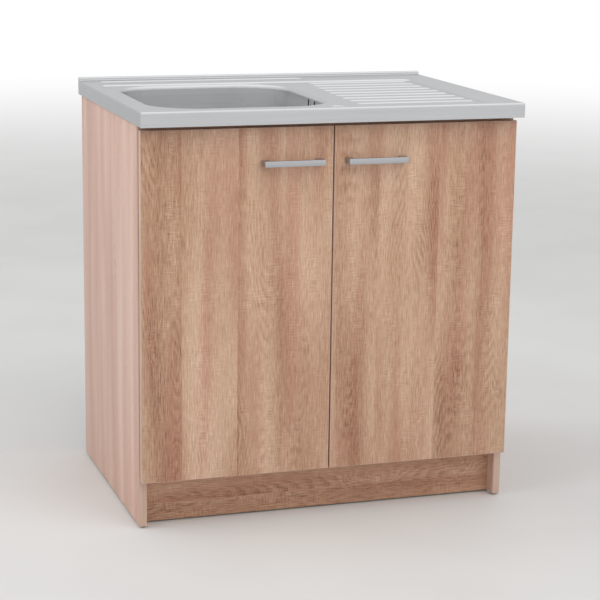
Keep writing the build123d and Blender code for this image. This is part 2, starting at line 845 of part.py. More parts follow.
def waste_body():
    """Plastic body under the bowl with outlet spigot, screw boss and overflow inlet."""
    top = seat_z - sheet - gasket_thickness
    outer = strainer_radius + waste_gap + waste_wall
    inner = outer - waste_wall
    wide = waste_hole + gasket_width
    floor = waste_low + waste_wall
    bore = spigot_radius - waste_wall
    body = turned([(bore, spigot_end), (spigot_radius, spigot_end), (spigot_radius, waste_low),
                   (outer, waste_low), (outer, top - waste_wall), (wide, top - waste_wall), (wide, top),
                   (inner, top), (inner, floor), (bore, floor)], (bowl_x, bowl_y))
    cup_low = seat_z + flange_thickness - strainer_depth
    boss = rod(2 * clamp_screw_radius, (bowl_x, bowl_y, waste_low), (0, 0, 1), cup_low - waste_low)
    bridge = Pos(bowl_x, bowl_y, waste_low + waste_wall / 2) * Box(2 * bore + 2, waste_wall, waste_wall)
    body += boss + bridge
    body -= rod(clamp_screw_radius + hole_play, (bowl_x, bowl_y, waste_low + 1), (0, 0, 1), waste_drop)
    direction, start, _ = overflow_run()
    socket = rod(pipe_radius + pipe_play + pipe_socket_wall, start + direction * (inner - 1), direction,
                 inlet_reach() - inner + 1)
    body += socket - rod(inner, (bowl_x, bowl_y, floor), (0, 0, 1), top - floor)
    body -= rod(pipe_radius + pipe_play, start + direction * (inlet_reach() - pipe_socket_depth), direction,
                pipe_socket_depth + 1)
    body -= rod(pipe_radius - pipe_wall, start + direction * (inner - 6), direction, inlet_reach())
    return body


def clamp_screw():
    """Centre screw that pulls the waste body up to the strainer."""
    floor = seat_z + flange_thickness - strainer_depth + cup_wall
    return screw((bowl_x, bowl_y, floor), (0, 0, -1), clamp_head_radius, clamp_head_height,
                 clamp_screw_radius, waste_drop - 1)


# ---------------------------------------------------------------- overflow


def inlet_reach():
    """Distance from the waste's axis to the mouth of its overflow inlet."""
    return strainer_radius + waste_gap + waste_wall + 2 * pipe_socket_depth


def overflow_faces():
    """X of the bowl wall's outside, of the gasket's back and of the head's back."""
    wall = bowl_right + sheet
    gasket_back = wall + overflow_gasket_thickness
    return wall, gasket_back, gasket_back + overflow_head_depth


def overflow_heights():
    """Lowest and highest z of the overflow head, kept under the bowl's lip."""
    middle = deck_z - overflow_drop
    reach = overflow_head_height / 2
    return middle - reach, min(middle + reach, deck_z - bowl_lip - sheet)


def overflow_width():
    """Y range of the overflow head."""
    return overflow_y - overflow_head_width / 2, overflow_y + overflow_head_width / 2


def overflow_run():
    """Level direction from the waste to the overflow, the waste's centre and the pipe's corner."""
    level = waste_low + waste_wall + pipe_radius + 4
    _, front, back = overflow_faces()
    corner = Vector((front + back) / 2, overflow_y, level)
    start = Vector(bowl_x, bowl_y, level)
    return (corner - start).normalized(), start, corner


def overflow_gasket():
    """Rubber frame shaped to the bowl's leaning wall."""
    wall, back, _ = overflow_faces()
    low, high = overflow_heights()
    near, far = overflow_width()
    frame = block((wall - 5, back), (near, far), (low, high)) - bowl_form(sheet)
    return frame - block((wall - 6, back + 1), (near + 5, far - 5), (low + 5, high - 4))


def overflow_head():
    """Plastic box behind the overflow slots with a socket for the pipe."""
    _, front, back = overflow_faces()
    low, high = overflow_heights()
    near, far = overflow_width()
    wall = overflow_head_wall
    body = block((front, back), (near, far), (low, high))
    body -= block((front - 1, back - wall), (near + wall, far - wall), (low + wall, high - wall))
    body += rod(wood_screw_radius + 2.2, (front - 1.5, overflow_y, deck_z - overflow_drop), (1, 0, 0),
                overflow_head_depth)
    middle = (front + back) / 2
    body += rod(pipe_radius + pipe_play + pipe_socket_wall, (middle, overflow_y, low + 1), (0, 0, -1),
                pipe_socket_depth + 3)
    body -= rod(pipe_radius + pipe_play, (middle, overflow_y, low - 0.5), (0, 0, -1), pipe_socket_depth + 3)
    body -= rod(pipe_radius - pipe_wall, (middle, overflow_y, low + wall + 1), (0, 0, -1), wall + 5)
    seat, inward = overflow_screw_line()
    return body - rod(wood_screw_radius + hole_play, seat, inward, 16)


def overflow_screw():
    """Screw through the bowl's wall into the overflow head."""
    seat, inward = overflow_screw_line()
    return screw(seat, inward, screw_head_radius, screw_head_height, wood_screw_radius, 15)


def overflow_pipe():
    """Pipe from the overflow head down to the waste body in one bend."""
    direction, start, corner = overflow_run()
    top = Vector(corner.X, corner.Y, overflow_heights()[0] - 0.5 - pipe_play)
    end = start + direction * (inlet_reach() - pipe_socket_depth + pipe_play)
    path = FilletPolyline(top, corner, end, radius=pipe_bend)
    ring = Circle(pipe_radius) - Circle(pipe_radius - pipe_wall)
    return sweep(Plane(origin=top, z_dir=(0, 0, -1)) * ring, path=path)


# ---------------------------------------------------------------- bottle trap


def ribs(radius, low, high):
    """Grip ribs round a nut that stands on the Z axis."""
    rib = block((radius - 1, radius + rib_height), (-rib_width / 2, rib_width / 2), (low, high))
    return [Rot(0, 0, 360 * index / rib_count) * rib for index in range(rib_count)]


def nut(points, radius, low, high):
    """Plastic nut on the Z axis: a turned body with grip ribs."""
    body = turned(points, (0, 0))
    for rib in ribs(radius, low, high):
        body += rib
    return body


def under_waste(shape):
    """A piece made on the Z axis, moved under the waste."""
    return Pos(bowl_x, bowl_y, 0) * shape


def trap_inlet_tube():
    """Dip tube with a collar that hangs in the top nut."""
    bore = trap_tube_radius - trap_tube_wall
    low = trap_body_top - trap_tube_dip
    return turned([(bore, low), (trap_tube_radius, low), (trap_tube_radius, spigot_end - collar_height),
                   (spigot_radius - 1, spigot_end - collar_height), (spigot_radius - 1, spigot_end),
                   (bore, spigot_end)], (bowl_x, bowl_y))


def trap_top_nut():
    """Nut that holds the dip tube's collar to the waste body's spigot."""
    low = spigot_end - 2 * collar_height
    high = low + trap_nut_height
    tube = trap_tube_radius + pipe_play
    thread = spigot_radius + pipe_play
    shelf = spigot_end - collar_height
    points = [(tube, low), (trap_nut_radius - 2, low), (trap_nut_radius, low + 2), (trap_nut_radius, high),
              (thread, high), (thread, shelf), (tube, shelf)]
    return under_waste(nut(points, trap_nut_radius, low + 3, high - 1))


def trap_neck_nut():
    """Small nut round the dip tube on top of the trap."""
    bore = trap_tube_radius + pipe_play
    top = trap_body_top + neck_nut_height
    points = [(bore, trap_body_top), (trap_neck_radius, trap_body_top), (trap_neck_radius, top - 3),
              (trap_neck_radius - 3, top), (bore, top)]
    return under_waste(nut(points, trap_neck_radius, trap_body_top + 1, top - 3))


def trap_body():
    """Bottle of the trap with its outlet spout."""
    low = trap_body_top - trap_body_height
    outer = trap_body_radius
    inner = outer - trap_wall
    hole = trap_tube_radius + pipe_play
    body = turned([(inner, low), (outer, low), (outer, trap_body_top - 4), (outer - 4, trap_body_top),
                   (hole, trap_body_top), (hole, trap_body_top - trap_wall),
                   (inner, trap_body_top - trap_wall - 4)], (bowl_x, bowl_y))
    spout = rod(drain_radius + drain_wall, (bowl_x, bowl_y + inner - 4, drain_height), (0, 1, 0),
                spout_end() - bowl_y - inner + 4)
    body += spout - rod(inner, (bowl_x, bowl_y, low), (0, 0, 1), trap_body_height)
    return body - rod(drain_radius - drain_wall, (bowl_x, bowl_y, drain_height), (0, 1, 0),
                      spout_end() - bowl_y + 1)


def trap_cup():
    """Screw-off cup that closes the trap from below."""
    low_edge = trap_body_top - trap_body_height
    outer = trap_body_radius + trap_wall
    bore = trap_body_radius + pipe_play
    inner = trap_body_radius - trap_wall
    top = low_edge + trap_cup_grip
    low = top - trap_cup_height
    floor = low + trap_wall
    points = [(0, low), (outer - 6, low), (outer, low + 8), (outer, top), (bore, top), (bore, low_edge),
              (inner, low_edge), (inner, floor + 4), (inner - 4, floor), (0, floor)]
    return under_waste(nut(points, outer, low + 9, top - 1))


def spout_end():
    """Y of the end of the trap's spout, where the drain pipe begins."""
    return bowl_y + trap_body_radius + drain_socket_length


def along_drain(shape):
    """A piece made on the Z axis from height 0, laid along the drain from the spout's end."""
    return Plane(origin=(bowl_x, spout_end(), drain_height), z_dir=(0, 1, 0)).location * shape


def drain_pipe():
    """Drain pipe with a stop bead, from the trap's spout to the wall."""
    length = carcass_back + drain_reach - spout_end()
    bore = drain_radius - drain_wall
    bead = drain_nut_length / 3 + 3
    return along_drain(turned([(bore, 0), (drain_radius, 0), (drain_radius, bead),
                               (drain_radius + bead_height, bead + 1),
                               (drain_radius + bead_height, bead + 3), (drain_radius, bead + 4),
                               (drain_radius, length), (bore, length)], (0, 0)))


def drain_nut():
    """Nut that joins the drain pipe to the spout."""
    low = -drain_nut_length * 2 / 3
    high = drain_nut_length / 3
    spout = drain_radius + drain_wall + pipe_play
    pipe = drain_radius + pipe_play
    points = [(spout, low), (drain_nut_radius, low), (drain_nut_radius, high - 2),
              (drain_nut_radius - 2, high), (pipe, high), (pipe, 0), (spout, 0)]
    return along_drain(nut(points, drain_nut_radius, low + 1, high - 3))


os.makedirs("parts", exist_ok=True)
save("sink_top", sink_top())
carcass()
glides()
buffers()
doors_and_hinges()
save("waste_strainer", strainer())
save("strainer_basket", basket())
save("basket_seal", basket_seal())
save("basket_knob", basket_knob())
save("waste_gasket", waste_gasket())
save("waste_body", waste_body())
save("waste_screw", clamp_screw())
save("overflow_gasket", overflow_gasket())
save("overflow_head", overflow_head())
save("overflow_screw", overflow_screw())
save("overflow_pipe", overflow_pipe())
save("trap_inlet_tube", trap_inlet_tube())
save("trap_top_nut", trap_top_nut())
save("trap_neck_nut", trap_neck_nut())
save("trap_body", trap_body())
save("trap_cup", trap_cup())
save("drain_pipe", drain_pipe())
save("drain_nut", drain_nut())
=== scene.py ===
"""Looks of a kitchen sink unit: a two-door base cabinet in sawn-oak decor under a steel sink top.

Lengths are in metres, +Z up, the doors face -Y. Pattern sizes in materials are in millimetres.
"""

import logging
import math
from dataclasses import dataclass, field, replace
from enum import Enum
from functools import partial
from typing import Any, Callable, Sequence

import bmesh
import bpy
from bpy.types import Material, Node, NodeSocket, NodeTree, Object
from mathutils import Matrix, Vector

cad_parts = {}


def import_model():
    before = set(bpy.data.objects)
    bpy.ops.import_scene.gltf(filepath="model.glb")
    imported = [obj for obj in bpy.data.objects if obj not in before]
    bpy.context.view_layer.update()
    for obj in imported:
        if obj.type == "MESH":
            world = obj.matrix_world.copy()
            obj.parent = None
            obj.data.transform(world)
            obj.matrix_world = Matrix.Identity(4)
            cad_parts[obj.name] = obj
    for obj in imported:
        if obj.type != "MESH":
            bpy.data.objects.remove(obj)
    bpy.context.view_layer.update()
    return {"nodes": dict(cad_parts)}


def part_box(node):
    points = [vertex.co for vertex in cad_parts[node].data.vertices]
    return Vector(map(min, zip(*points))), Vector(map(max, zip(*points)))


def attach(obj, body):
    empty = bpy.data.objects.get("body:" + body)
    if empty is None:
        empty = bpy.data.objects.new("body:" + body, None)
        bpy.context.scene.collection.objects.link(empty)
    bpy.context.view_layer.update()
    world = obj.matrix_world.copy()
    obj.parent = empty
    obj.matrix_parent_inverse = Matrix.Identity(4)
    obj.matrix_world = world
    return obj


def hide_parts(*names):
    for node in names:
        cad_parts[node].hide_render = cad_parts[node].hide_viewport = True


LOG = logging.getLogger("sink_unit")
MM = 0.001
NEAR = 0.01 * MM
OVERCUT = 1 * MM
ALONG_AXIS = 0.9

# Noise values between which one tone of a surface gives way to the other.
TONE_SPAN = (0.35, 0.7)
WIDE_SPAN = (0.3, 0.7)

MAIN_SETTING = {"Math": "operation", "VectorMath": "operation", "MapRange": "interpolation_type",
                "Mix": "data_type", "TexVoronoi": "voronoi_dimensions"}

Point = tuple[float, float, float]
Test = Callable[[Vector, Vector], bool]


class Grain(Enum):
    """Which way the oak decor runs on a board: axis across, axis through, axis along the grain."""

    UPRIGHT_FRONT = "XYZ"
    UPRIGHT_SIDE = "YXZ"
    LEVEL_FRONT = "ZYX"
    LEVEL_SHELF = "YZX"


class Edge(Enum):
    """How the narrow faces of a board are finished."""

    TAPED = "taped all round"
    FRONT_TAPED = "taped on the front, sawn elsewhere"


def linear(hex_colour: str) -> tuple[float, float, float, float]:
    """Turn an sRGB hex colour into linear RGBA.

    Args:
        hex_colour: Six hex digits.

    Returns:
        Linear red, green and blue, and an alpha of one.
    """
    channels = [int(hex_colour[i:i + 2], 16) / 255 for i in (0, 2, 4)]
    values = [c / 12.92 if c <= 0.04045 else ((c + 0.055) / 1.055) ** 2.4 for c in channels]
    return values[0], values[1], values[2], 1.0


def fill(node: Node, values: dict[int | str, Any]) -> None:
    """Set or link the input sockets of a node.

    Args:
        node: The node.
        values: Number or name of a socket in use, to a value, a hex colour, an output socket, or a
            node that gives its first output in use.
    """
    in_use = [socket for socket in node.inputs if socket.enabled]
    for key, value in values.items():
        socket = in_use[key] if isinstance(key, int) else next(one for one in in_use if one.name == key)
        if isinstance(value, Node):
            value = next(output for output in value.outputs if output.enabled)
        if isinstance(value, NodeSocket):
            node.id_data.links.new(value, socket)
        else:
            socket.default_value = linear(value) if isinstance(value, str) else value


def add_node(tree: NodeTree, kind: str, *inputs: Any, **more: Any) -> Node:
    """Add a node with its settings and links.

    Args:
        tree: Node tree that takes the node.
        kind: Type of the node, without the ShaderNode prefix, and after a colon its main setting.
        inputs: Values for the first sockets in use, as fill takes them.
        more: Values for sockets by their name, and more settings of the node, in lower case.

    Returns:
        The new node.
    """
    kind, _, choice = kind.partition(":")
    node = tree.nodes.new("ShaderNode" + kind)
    if choice:
        setattr(node, MAIN_SETTING[kind], choice)
    sockets = dict(enumerate(inputs))
    for name, value in more.items():
        if name.islower():
            setattr(node, name, value)
        else:
            sockets[name] = value
    fill(node, sockets)
    return node


@dataclass
class Coat:
    """A material in the making: its shader, and where and which way its surface lies."""

    name: str
    material: Material = field(init=False)
    shader: Node = field(init=False)
    add: Callable[..., Node] = field(init=False)
    place: Node = field(init=False)
    facing: NodeSocket = field(init=False)

    def __post_init__(self) -> None:
        """Start the node tree, with object coordinates in millimetres."""
        self.material = bpy.data.materials.new(self.name)
        self.material.use_nodes = True
        tree = self.material.node_tree
        self.shader = tree.nodes["Principled BSDF"]
        self.add = partial(add_node, tree)
        coordinates = self.add("TexCoord")
        self.place = self.add("VectorMath:DIVIDE", coordinates.outputs["Object"], (MM, MM, MM))
        self.facing = coordinates.outputs["Normal"]

    def two_tone(self, pattern: Any, first: str, second: str,
                 span: tuple[float, float] = TONE_SPAN) -> tuple[Node, Node]:
        """Blend two colours by a pattern.

        Args:
            pattern: Pattern that blends them.
            first: Colour up to the span.
            second: Colour past the span.
            span: Values of the pattern between which they blend.

        Returns:
            Share of the second colour, and the blend.
        """
        share = self.add("MapRange:SMOOTHSTEP", pattern, *span)
        return share, self.add("Mix:RGBA", share, first, second)

    def finish(self, sockets: dict[str, Any], relief: Node | None = None, depth_mm: float = 0.0) -> Material:
        """Fill the shader's sockets and press a pattern into the surface.

        Args:
            sockets: Socket names to values, as fill takes them.
            relief: Height of the surface from 0 to 1, or None for a plain one.
            depth_mm: Depth of the relief.

        Returns:
            The finished material.
        """
        fill(self.shader, sockets)
        if relief:
            bump = self.add("Bump", Height=relief, Distance=depth_mm * MM)
            fill(self.shader, {"Normal": bump})
        return self.material


@dataclass(frozen=True)
class Cloud:
    """One layer of the oak print: the size of its features in millimetres, and its weight."""

    across: float
    along: float
    octaves: float = 1.0
    rough: float = 0.5
    gain: float = 0.0


# Layers of the print. Real oak pores are 0.3 mm by 8 mm: they are drawn coarser, at 1.8 mm by 22 mm
# and 2.6 mm by 46 mm, because finer ones don't show at the size of the picture.
OAK_PRINT = {
    "heartwood": Cloud(58, 560, 0.5, gain=1.3),
    "streak": Cloud(9, 210, gain=0.18),
    "vessel": Cloud(2.6, 46, gain=0.80),
    "pore": Cloud(1.8, 22, 2.0, 0.6, 1.4),
    "chatter": Cloud(9, 4.5, 2.0, gain=0.30),
    "red": Cloud(40, 520, 0.5),
    "bend": Cloud(60, 230),
    "swirl": Cloud(80, 150),
    "ripple": Cloud(16, 48, 2.0),
    "flat_sawn": Cloud(52, 300),
    "bow": Cloud(55, 60),
    "stroke": Cloud(24, 3.2),
    "rough_sawn": Cloud(40, 110),
}

# Noise values over which a layer brings its feature in.
RED_SPAN = (0.38, 0.72)
SWIRL_SPAN = (0.58, 0.70)
FLAT_SAWN_SPAN = (0.48, 0.66)
ROUGH_SAWN_SPAN = (0.48, 0.68)
CHIP_SPAN = (0.05, 0.5)

# Shares of one year's growth: the late wood comes in slowly and stops at the next spring.
LATE_WOOD_SPAN = (0.15, 0.80)
SPRING_SPAN = (0.84, 1.0)

# Shares of a normal: less than the first through the board is a narrow face, and less than the second
# along Y is its front.
WIDE_FACING = 0.72
FRONT_FACING = -0.6


@dataclass(frozen=True)
class SawnOakDecor:
    """Chipboard faced with melamine paper printed as rough-sawn oak, pressed with a fine pore.

    The eye sees glued staves of greyed tan, each with its own tone and its own cut of the grain, red
    and umber streaks along the pores and pale saw marks across them, under an even satin sheen. The
    edge band is one millimetre of plain plastic, so a door shows it as a thin pale line.
    """

    name: str
    grain: Grain
    edge: Edge = Edge.TAPED
    seed: float = 0.0
    tones: tuple[str, ...] = ("855F49", "B0866B", "C49F84", "D4B197", "E9CCB2")
    red: str = "E9D2CF"
    redness: float = 0.75
    tape: str = "CDB09F"
    tape_line: str = "BE9F8C"
    tape_line_mm: Point = (2.6, 2.6, 190.0)
    chip_light: str = "C9AE86"
    chip_dark: str = "8F6E49"
    chip_mm: float = 1.8
    grit_per_mm: float = 1.1
    rough: float = 0.38
    pore_dulling: float = 0.16
    pore_depth_mm: float = 0.09
    contrast: float = 0.7
    tone: float = 0.38
    stave_gain: float = 0.24
    ring_gain: float = -0.27
    mark_gain: float = 0.24
    stave_mm: float = 96.0
    stave_uneven: float = 0.8
    cut_step_mm: float = 137.0
    log_step_mm: float = 311.0
    log_spread_mm: tuple[float, float] = (1100.0, 2300.0)
    pith_spread: float = 0.9
    pith_aside_mm: float = 22.0
    bend_mm: float = 44.0
    taper: float = 0.16
    arch_mm: float = 85.0
    ring_mm: float = 4.8
    wander: tuple[float, float] = (0.7, 4.0)
    upright_rings: float = 0.06
    saw_mm: float = 5.4
    saw_bow: float = 16.0
    saw_stroke: tuple[float, float] = (3.6, -1.6)
    saw_tooth: float = 0.15
    smooth_sawn: float = 0.12
    band_mm: float = 0.0
    low: Point = (0.0, 0.0, 0.0)
    high: Point = (0.0, 0.0, 0.0)

    def make(self) -> Material:
        """Build the material.

        Returns:
            The finished material.
        """
        coat = Coat(self.name)
        add = coat.add
        axes = add("SeparateXYZ", coat.place)
        across, through, along = (axes.outputs[axis] for axis in self.grain.value)
        colour, pores = self._face(coat, across, along)
        edge_colour, on_edge = self._edges(coat, across, through, along)
        return coat.finish({
            "Base Color": add("Mix:RGBA", on_edge, colour, edge_colour),
            "Roughness": add("Math:MULTIPLY_ADD", pores, self.pore_dulling, self.rough),
        }, pores, self.pore_depth_mm)

    def _face(self, coat: Coat, across: Any, along: Any) -> tuple[Node, Node]:
        """Printed oak on the wide faces.

        Args:
            coat: Material in the making.
            across: Millimetres across the grain.
            along: Millimetres along the grain.

        Returns:
            Colour of the print, and its pores, which are pressed in as well.
        """
        add = coat.add
        shifted = add("Math:ADD", across, self.seed * self.cut_step_mm)
        cell = add("Math:DIVIDE", shifted, self.stave_mm)
        stave = add("TexVoronoi:1D", W=cell, Scale=1.0, Randomness=self.stave_uneven)
        own = add("SeparateXYZ", stave.outputs["Color"]).outputs
        log_x = add("Math:ADD", shifted, self.seed * self.log_step_mm)
        log_x = add("Math:MULTIPLY_ADD", own["X"], self.log_spread_mm[0], log_x)
        log_z = add("Math:MULTIPLY_ADD", own["Y"], self.log_spread_mm[1], along)
        flat = add("CombineXYZ", log_x, 0.0, log_z)
        clouds = {
            name: add("TexNoise", add("VectorMath:DIVIDE", flat, (cloud.across, 1.0, cloud.along)),
                      Scale=1.0, Detail=cloud.octaves, Roughness=cloud.rough)
            for name, cloud in OAK_PRINT.items()}
        middle = sum(cloud.gain for cloud in OAK_PRINT.values()) * self.contrast / 2
        tone = add("Math:MULTIPLY_ADD", own["Z"], self.stave_gain, self.tone - middle)
        layers = [(clouds[name], cloud.gain) for name, cloud in OAK_PRINT.items() if cloud.gain]
        layers.append((self._rings(coat, stave, own, log_z, clouds), self.ring_gain))
        layers.append((self._saw_marks(coat, log_z, clouds), self.mark_gain))
        for layer, gain in layers:
            tone = add("Math:MULTIPLY_ADD", layer, gain * self.contrast, tone)
        print_ink = add("ValToRGB", tone)
        for step in range(1, len(self.tones) - 1):
            print_ink.color_ramp.elements.new(step / (len(self.tones) - 1))
        for stop, colour in zip(print_ink.color_ramp.elements, self.tones):
            stop.color = linear(colour)
        redness = add("MapRange:SMOOTHSTEP", clouds["red"], *RED_SPAN, 0.0, self.redness)
        colour = add("Mix:RGBA", redness, print_ink, self.red, blend_type="MULTIPLY")
        return colour, clouds["pore"]

    def _rings(self, coat: Coat, stave: Node, own: Any, log_z: Any, clouds: dict[str, Node]) -> Node:
        """Late wood where a stave is cut through its growth rings, arched along its middle.

        Args:
            coat: Material in the making.
            stave: Cells of the staves.
            own: Random numbers of each stave.
            log_z: Millimetres along the log.
            clouds: Layers of the print.

        Returns:
            Strength of the late wood from 0 to 1.
        """
        add = coat.add
        reach = self.stave_mm * self.pith_spread
        aside = add("Math:MULTIPLY_ADD", own["Z"], reach, -reach / 2 - self.pith_aside_mm)
        aside = add("Math:MULTIPLY_ADD", stave.outputs["Distance"], self.stave_mm, aside)
        aside = add("Math:MULTIPLY_ADD", clouds["bend"], self.bend_mm, aside)
        depth = add("Math:MULTIPLY", log_z, self.taper)
        depth = add("Math:PINGPONG", depth, self.arch_mm)
        depth = add("Math:POWER", depth, 2.0)
        radius = add("Math:SQRT", add("Math:MULTIPLY_ADD", aside, aside, depth))
        wander = add("MapRange:SMOOTHSTEP", clouds["swirl"], *SWIRL_SPAN, *self.wander)
        years = add("Math:DIVIDE", radius, self.ring_mm)
        years = add("Math:MULTIPLY_ADD", clouds["ripple"], wander, years)
        season = add("Math:FRACT", years)
        late = add("MapRange:SMOOTHSTEP", season, *LATE_WOOD_SPAN)
        spring = add("MapRange:SMOOTHSTEP", season, *SPRING_SPAN, 1.0, 0.0)
        patch = add("MapRange:SMOOTHSTEP", clouds["flat_sawn"], *FLAT_SAWN_SPAN, self.upright_rings, 1.0)
        late = add("Math:MULTIPLY", late, spring)
        return add("Math:MULTIPLY", late, patch)

    def _saw_marks(self, coat: Coat, log_z: Any, clouds: dict[str, Node]) -> Node:
        """Marks of the saw blade across the grain, in patches.

        Args:
            coat: Material in the making.
            log_z: Millimetres along the log.
            clouds: Layers of the print.

        Returns:
            Tone of the marks, around 0.
        """
        add = coat.add
        travel = add("Math:MULTIPLY", log_z, 2 * math.pi / self.saw_mm)
        travel = add("Math:MULTIPLY_ADD", clouds["bow"], self.saw_bow, travel)
        tooth = add("Math:SINE", travel)
        stroke = add("Math:MULTIPLY_ADD", clouds["stroke"], *self.saw_stroke)
        marks = add("Math:MULTIPLY_ADD", tooth, self.saw_tooth, stroke)
        patch = add("MapRange:SMOOTHSTEP", clouds["rough_sawn"], *ROUGH_SAWN_SPAN, self.smooth_sawn, 1.0)
        return add("Math:MULTIPLY", marks, patch)

    def _edges(self, coat: Coat, across: Any, through: Any, along: Any) -> tuple[Node, Node]:
        """Colour of the narrow faces and where they are.

        Args:
            coat: Material in the making.
            across: Millimetres across the grain.
            through: Millimetres through the board.
            along: Millimetres along the grain.

        Returns:
            Edge colour, and 1 on the narrow faces and 0 on the wide ones.
        """
        add = coat.add
        facing = add("SeparateXYZ", coat.facing).outputs
        wide = add("Math:ABSOLUTE", facing[self.grain.value[1]])
        on_edge = add("Math:LESS_THAN", wide, WIDE_FACING)
        board = add("CombineXYZ", across, through, along)
        lines = add("TexNoise", add("VectorMath:DIVIDE", board, self.tape_line_mm), Scale=1.0, Detail=3.0)
        tape = coat.two_tone(lines, self.tape, self.tape_line)[1]
        if self.edge is Edge.TAPED:
            return tape, self._band(coat, across, along, on_edge)
        chips = add("TexVoronoi", coat.place, Scale=1 / self.chip_mm)
        grit = add("TexNoise", coat.place, Scale=self.grit_per_mm)
        chip = add("SeparateXYZ", chips.outputs["Color"]).outputs["X"]
        chip = add("Math:MULTIPLY", chip, grit)
        sawn = coat.two_tone(chip, self.chip_light, self.chip_dark, CHIP_SPAN)[1]
        front = add("Math:LESS_THAN", facing["Y"], FRONT_FACING)
        return add("Mix:RGBA", front, sawn, tape), on_edge

    def _band(self, coat: Coat, across: Any, along: Any, on_edge: Node) -> Node:
        """Add the edge band's own thickness, a thin line round the wide faces.

        Args:
            coat: Material in the making.
            across: Millimetres across the grain.
            along: Millimetres along the grain.
            on_edge: 1 on the narrow faces and 0 on the wide ones.

        Returns:
            1 on the narrow faces and the line, and 0 inside it.
        """
        add = coat.add
        band = on_edge
        for place, name in ((across, self.grain.value[0]), (along, self.grain.value[2])):
            axis = "XYZ".index(name)
            low, high = self.low[axis] / MM, self.high[axis] / MM
            away = add("Math:ABSOLUTE", add("Math:SUBTRACT", place, (low + high) / 2))
            line = add("Math:GREATER_THAN", away, (high - low) / 2 - self.band_mm)
            band = add("Math:MAXIMUM", band, line)
        return band


@dataclass(frozen=True)
class SatinStainless:
    """Austenitic stainless sheet, pressed and left with a fine satin rolling finish.

    The eye sees a cool even grey that blurs what it reflects, with faint rolling lines along the
    sheet, slightly cloudier patches from the press and a duller bowl, where it is drawn deep. Real
    rolling lines are 0.1 mm apart: they are drawn coarser, at line_mm, so that they show.
    """

    name: str
    steel: str = "CBCCCD"
    steel_dim: str = "C3C4C6"
    grazing: str = "DADADA"
    rough: float = 0.33
    line_mm: float = 1.1
    line_length_mm: float = 260.0
    line_dulling: float = 0.06
    line_depth_mm: float = 0.006
    press_mm: Point = (140.0, 90.0, 60.0)
    press_dulling: float = 0.03
    drawn_dulling: float = 0.0
    bowl_middle_mm: Point = (-166.0, -27.0, 0.0)
    bowl_reach_mm: float = 222.0
    lip_top_mm: float = 846.0
    lip_foot_mm: float = 826.0

    def make(self) -> Material:
        """Build the material.

        Returns:
            The finished material.
        """
        coat = Coat(self.name)
        add = coat.add
        along = add("VectorMath:DIVIDE", coat.place, (self.line_length_mm, self.line_mm, self.line_mm))
        lines = add("TexNoise", along, Scale=1.0, Detail=3.0, Roughness=0.65)
        pressed = add("VectorMath:DIVIDE", coat.place, self.press_mm)
        clouds = add("TexNoise", pressed, Scale=1.0)
        share, colour = coat.two_tone(lines, self.steel, self.steel_dim)
        rough = add("MapRange", clouds, *WIDE_SPAN, self.rough - self.press_dulling,
                    self.rough + self.press_dulling)
        if self.drawn_dulling:
            rough = add("Math:MULTIPLY_ADD", self._drawn(coat), self.drawn_dulling, rough)
        return coat.finish({
            "Base Color": colour,
            "Metallic": 1.0,
            "Roughness": add("Math:MULTIPLY_ADD", share, self.line_dulling, rough),
            "Specular Tint": self.grazing,
        }, lines, self.line_depth_mm)

    def _drawn(self, coat: Coat) -> Node:
        """Find the deep-drawn bowl, where the stretched sheet loses its gloss.

        Args:
            coat: Material in the making.

        Returns:
            1 in the bowl and 0 on the flat of the sheet.
        """
        add = coat.add
        height = add("SeparateXYZ", coat.place).outputs["Z"]
        below = add("MapRange", height, self.lip_top_mm, self.lip_foot_mm)
        away = add("VectorMath:SUBTRACT", coat.place, self.bowl_middle_mm)
        sides = add("SeparateXYZ", add("VectorMath:ABSOLUTE", away)).outputs
        away = add("Math:MAXIMUM", sides["X"], sides["Y"])
        inside = add("Math:LESS_THAN", away, self.bowl_reach_mm)
        return add("Math:MULTIPLY", inside, below)


@dataclass(frozen=True)
class PlatedMetal:
    """Small steel or zinc fittings under a thin plated coat.

    The eye sees a bright coat with soft orange-peel unevenness and a little dulling at random. The
    peel is drawn at 0.5 mm, coarser than the real 0.2 mm, so that it shows.
    """

    name: str
    bright: str
    dull: str
    rough: float = 0.22
    cloud_mm: float = 3.0
    dulling: float = 0.14
    peel_mm: float = 0.5
    peel_depth_mm: float = 0.012

    def make(self) -> Material:
        """Build the material.

        Returns:
            The finished material.
        """
        coat = Coat(self.name)
        add = coat.add
        clouds = add("TexNoise", coat.place, Scale=1 / self.cloud_mm, Detail=3.0)
        peel = add("TexNoise", coat.place, Scale=1 / self.peel_mm, Detail=1.0)
        share, colour = coat.two_tone(clouds, self.bright, self.dull)
        return coat.finish({
            "Base Color": colour,
            "Metallic": 1.0,
            "Roughness": add("Math:MULTIPLY_ADD", share, self.dulling, self.rough),
        }, peel, self.peel_depth_mm)


@dataclass(frozen=True)
class SatinAluminium:
    """Anodised aluminium, brushed along its length.

    The eye sees a pale cool grey with soft highlights and fine lines from end to end. Real brush
    lines are 0.1 mm apart: they are drawn at 0.5 mm, so that they show.
    """

    name: str
    light: str = "BEBEC1"
    shade: str = "B1B1B4"
    rough: float = 0.32
    line_dulling: float = 0.10
    line_mm: Point = (60.0, 0.5, 0.5)
    line_depth_mm: float = 0.01

    def make(self) -> Material:
        """Build the material.

        Returns:
            The finished material.
        """
        coat = Coat(self.name)
        add = coat.add
        along = add("VectorMath:DIVIDE", coat.place, self.line_mm)
        lines = add("TexNoise", along, Scale=1.0, Detail=3.0, Roughness=0.7)
        share, colour = coat.two_tone(lines, self.light, self.shade)
        return coat.finish({
            "Base Color": colour,
            "Metallic": 1.0,
            "Roughness": add("Math:MULTIPLY_ADD", share, self.line_dulling, self.rough),
        }, lines, self.line_depth_mm)


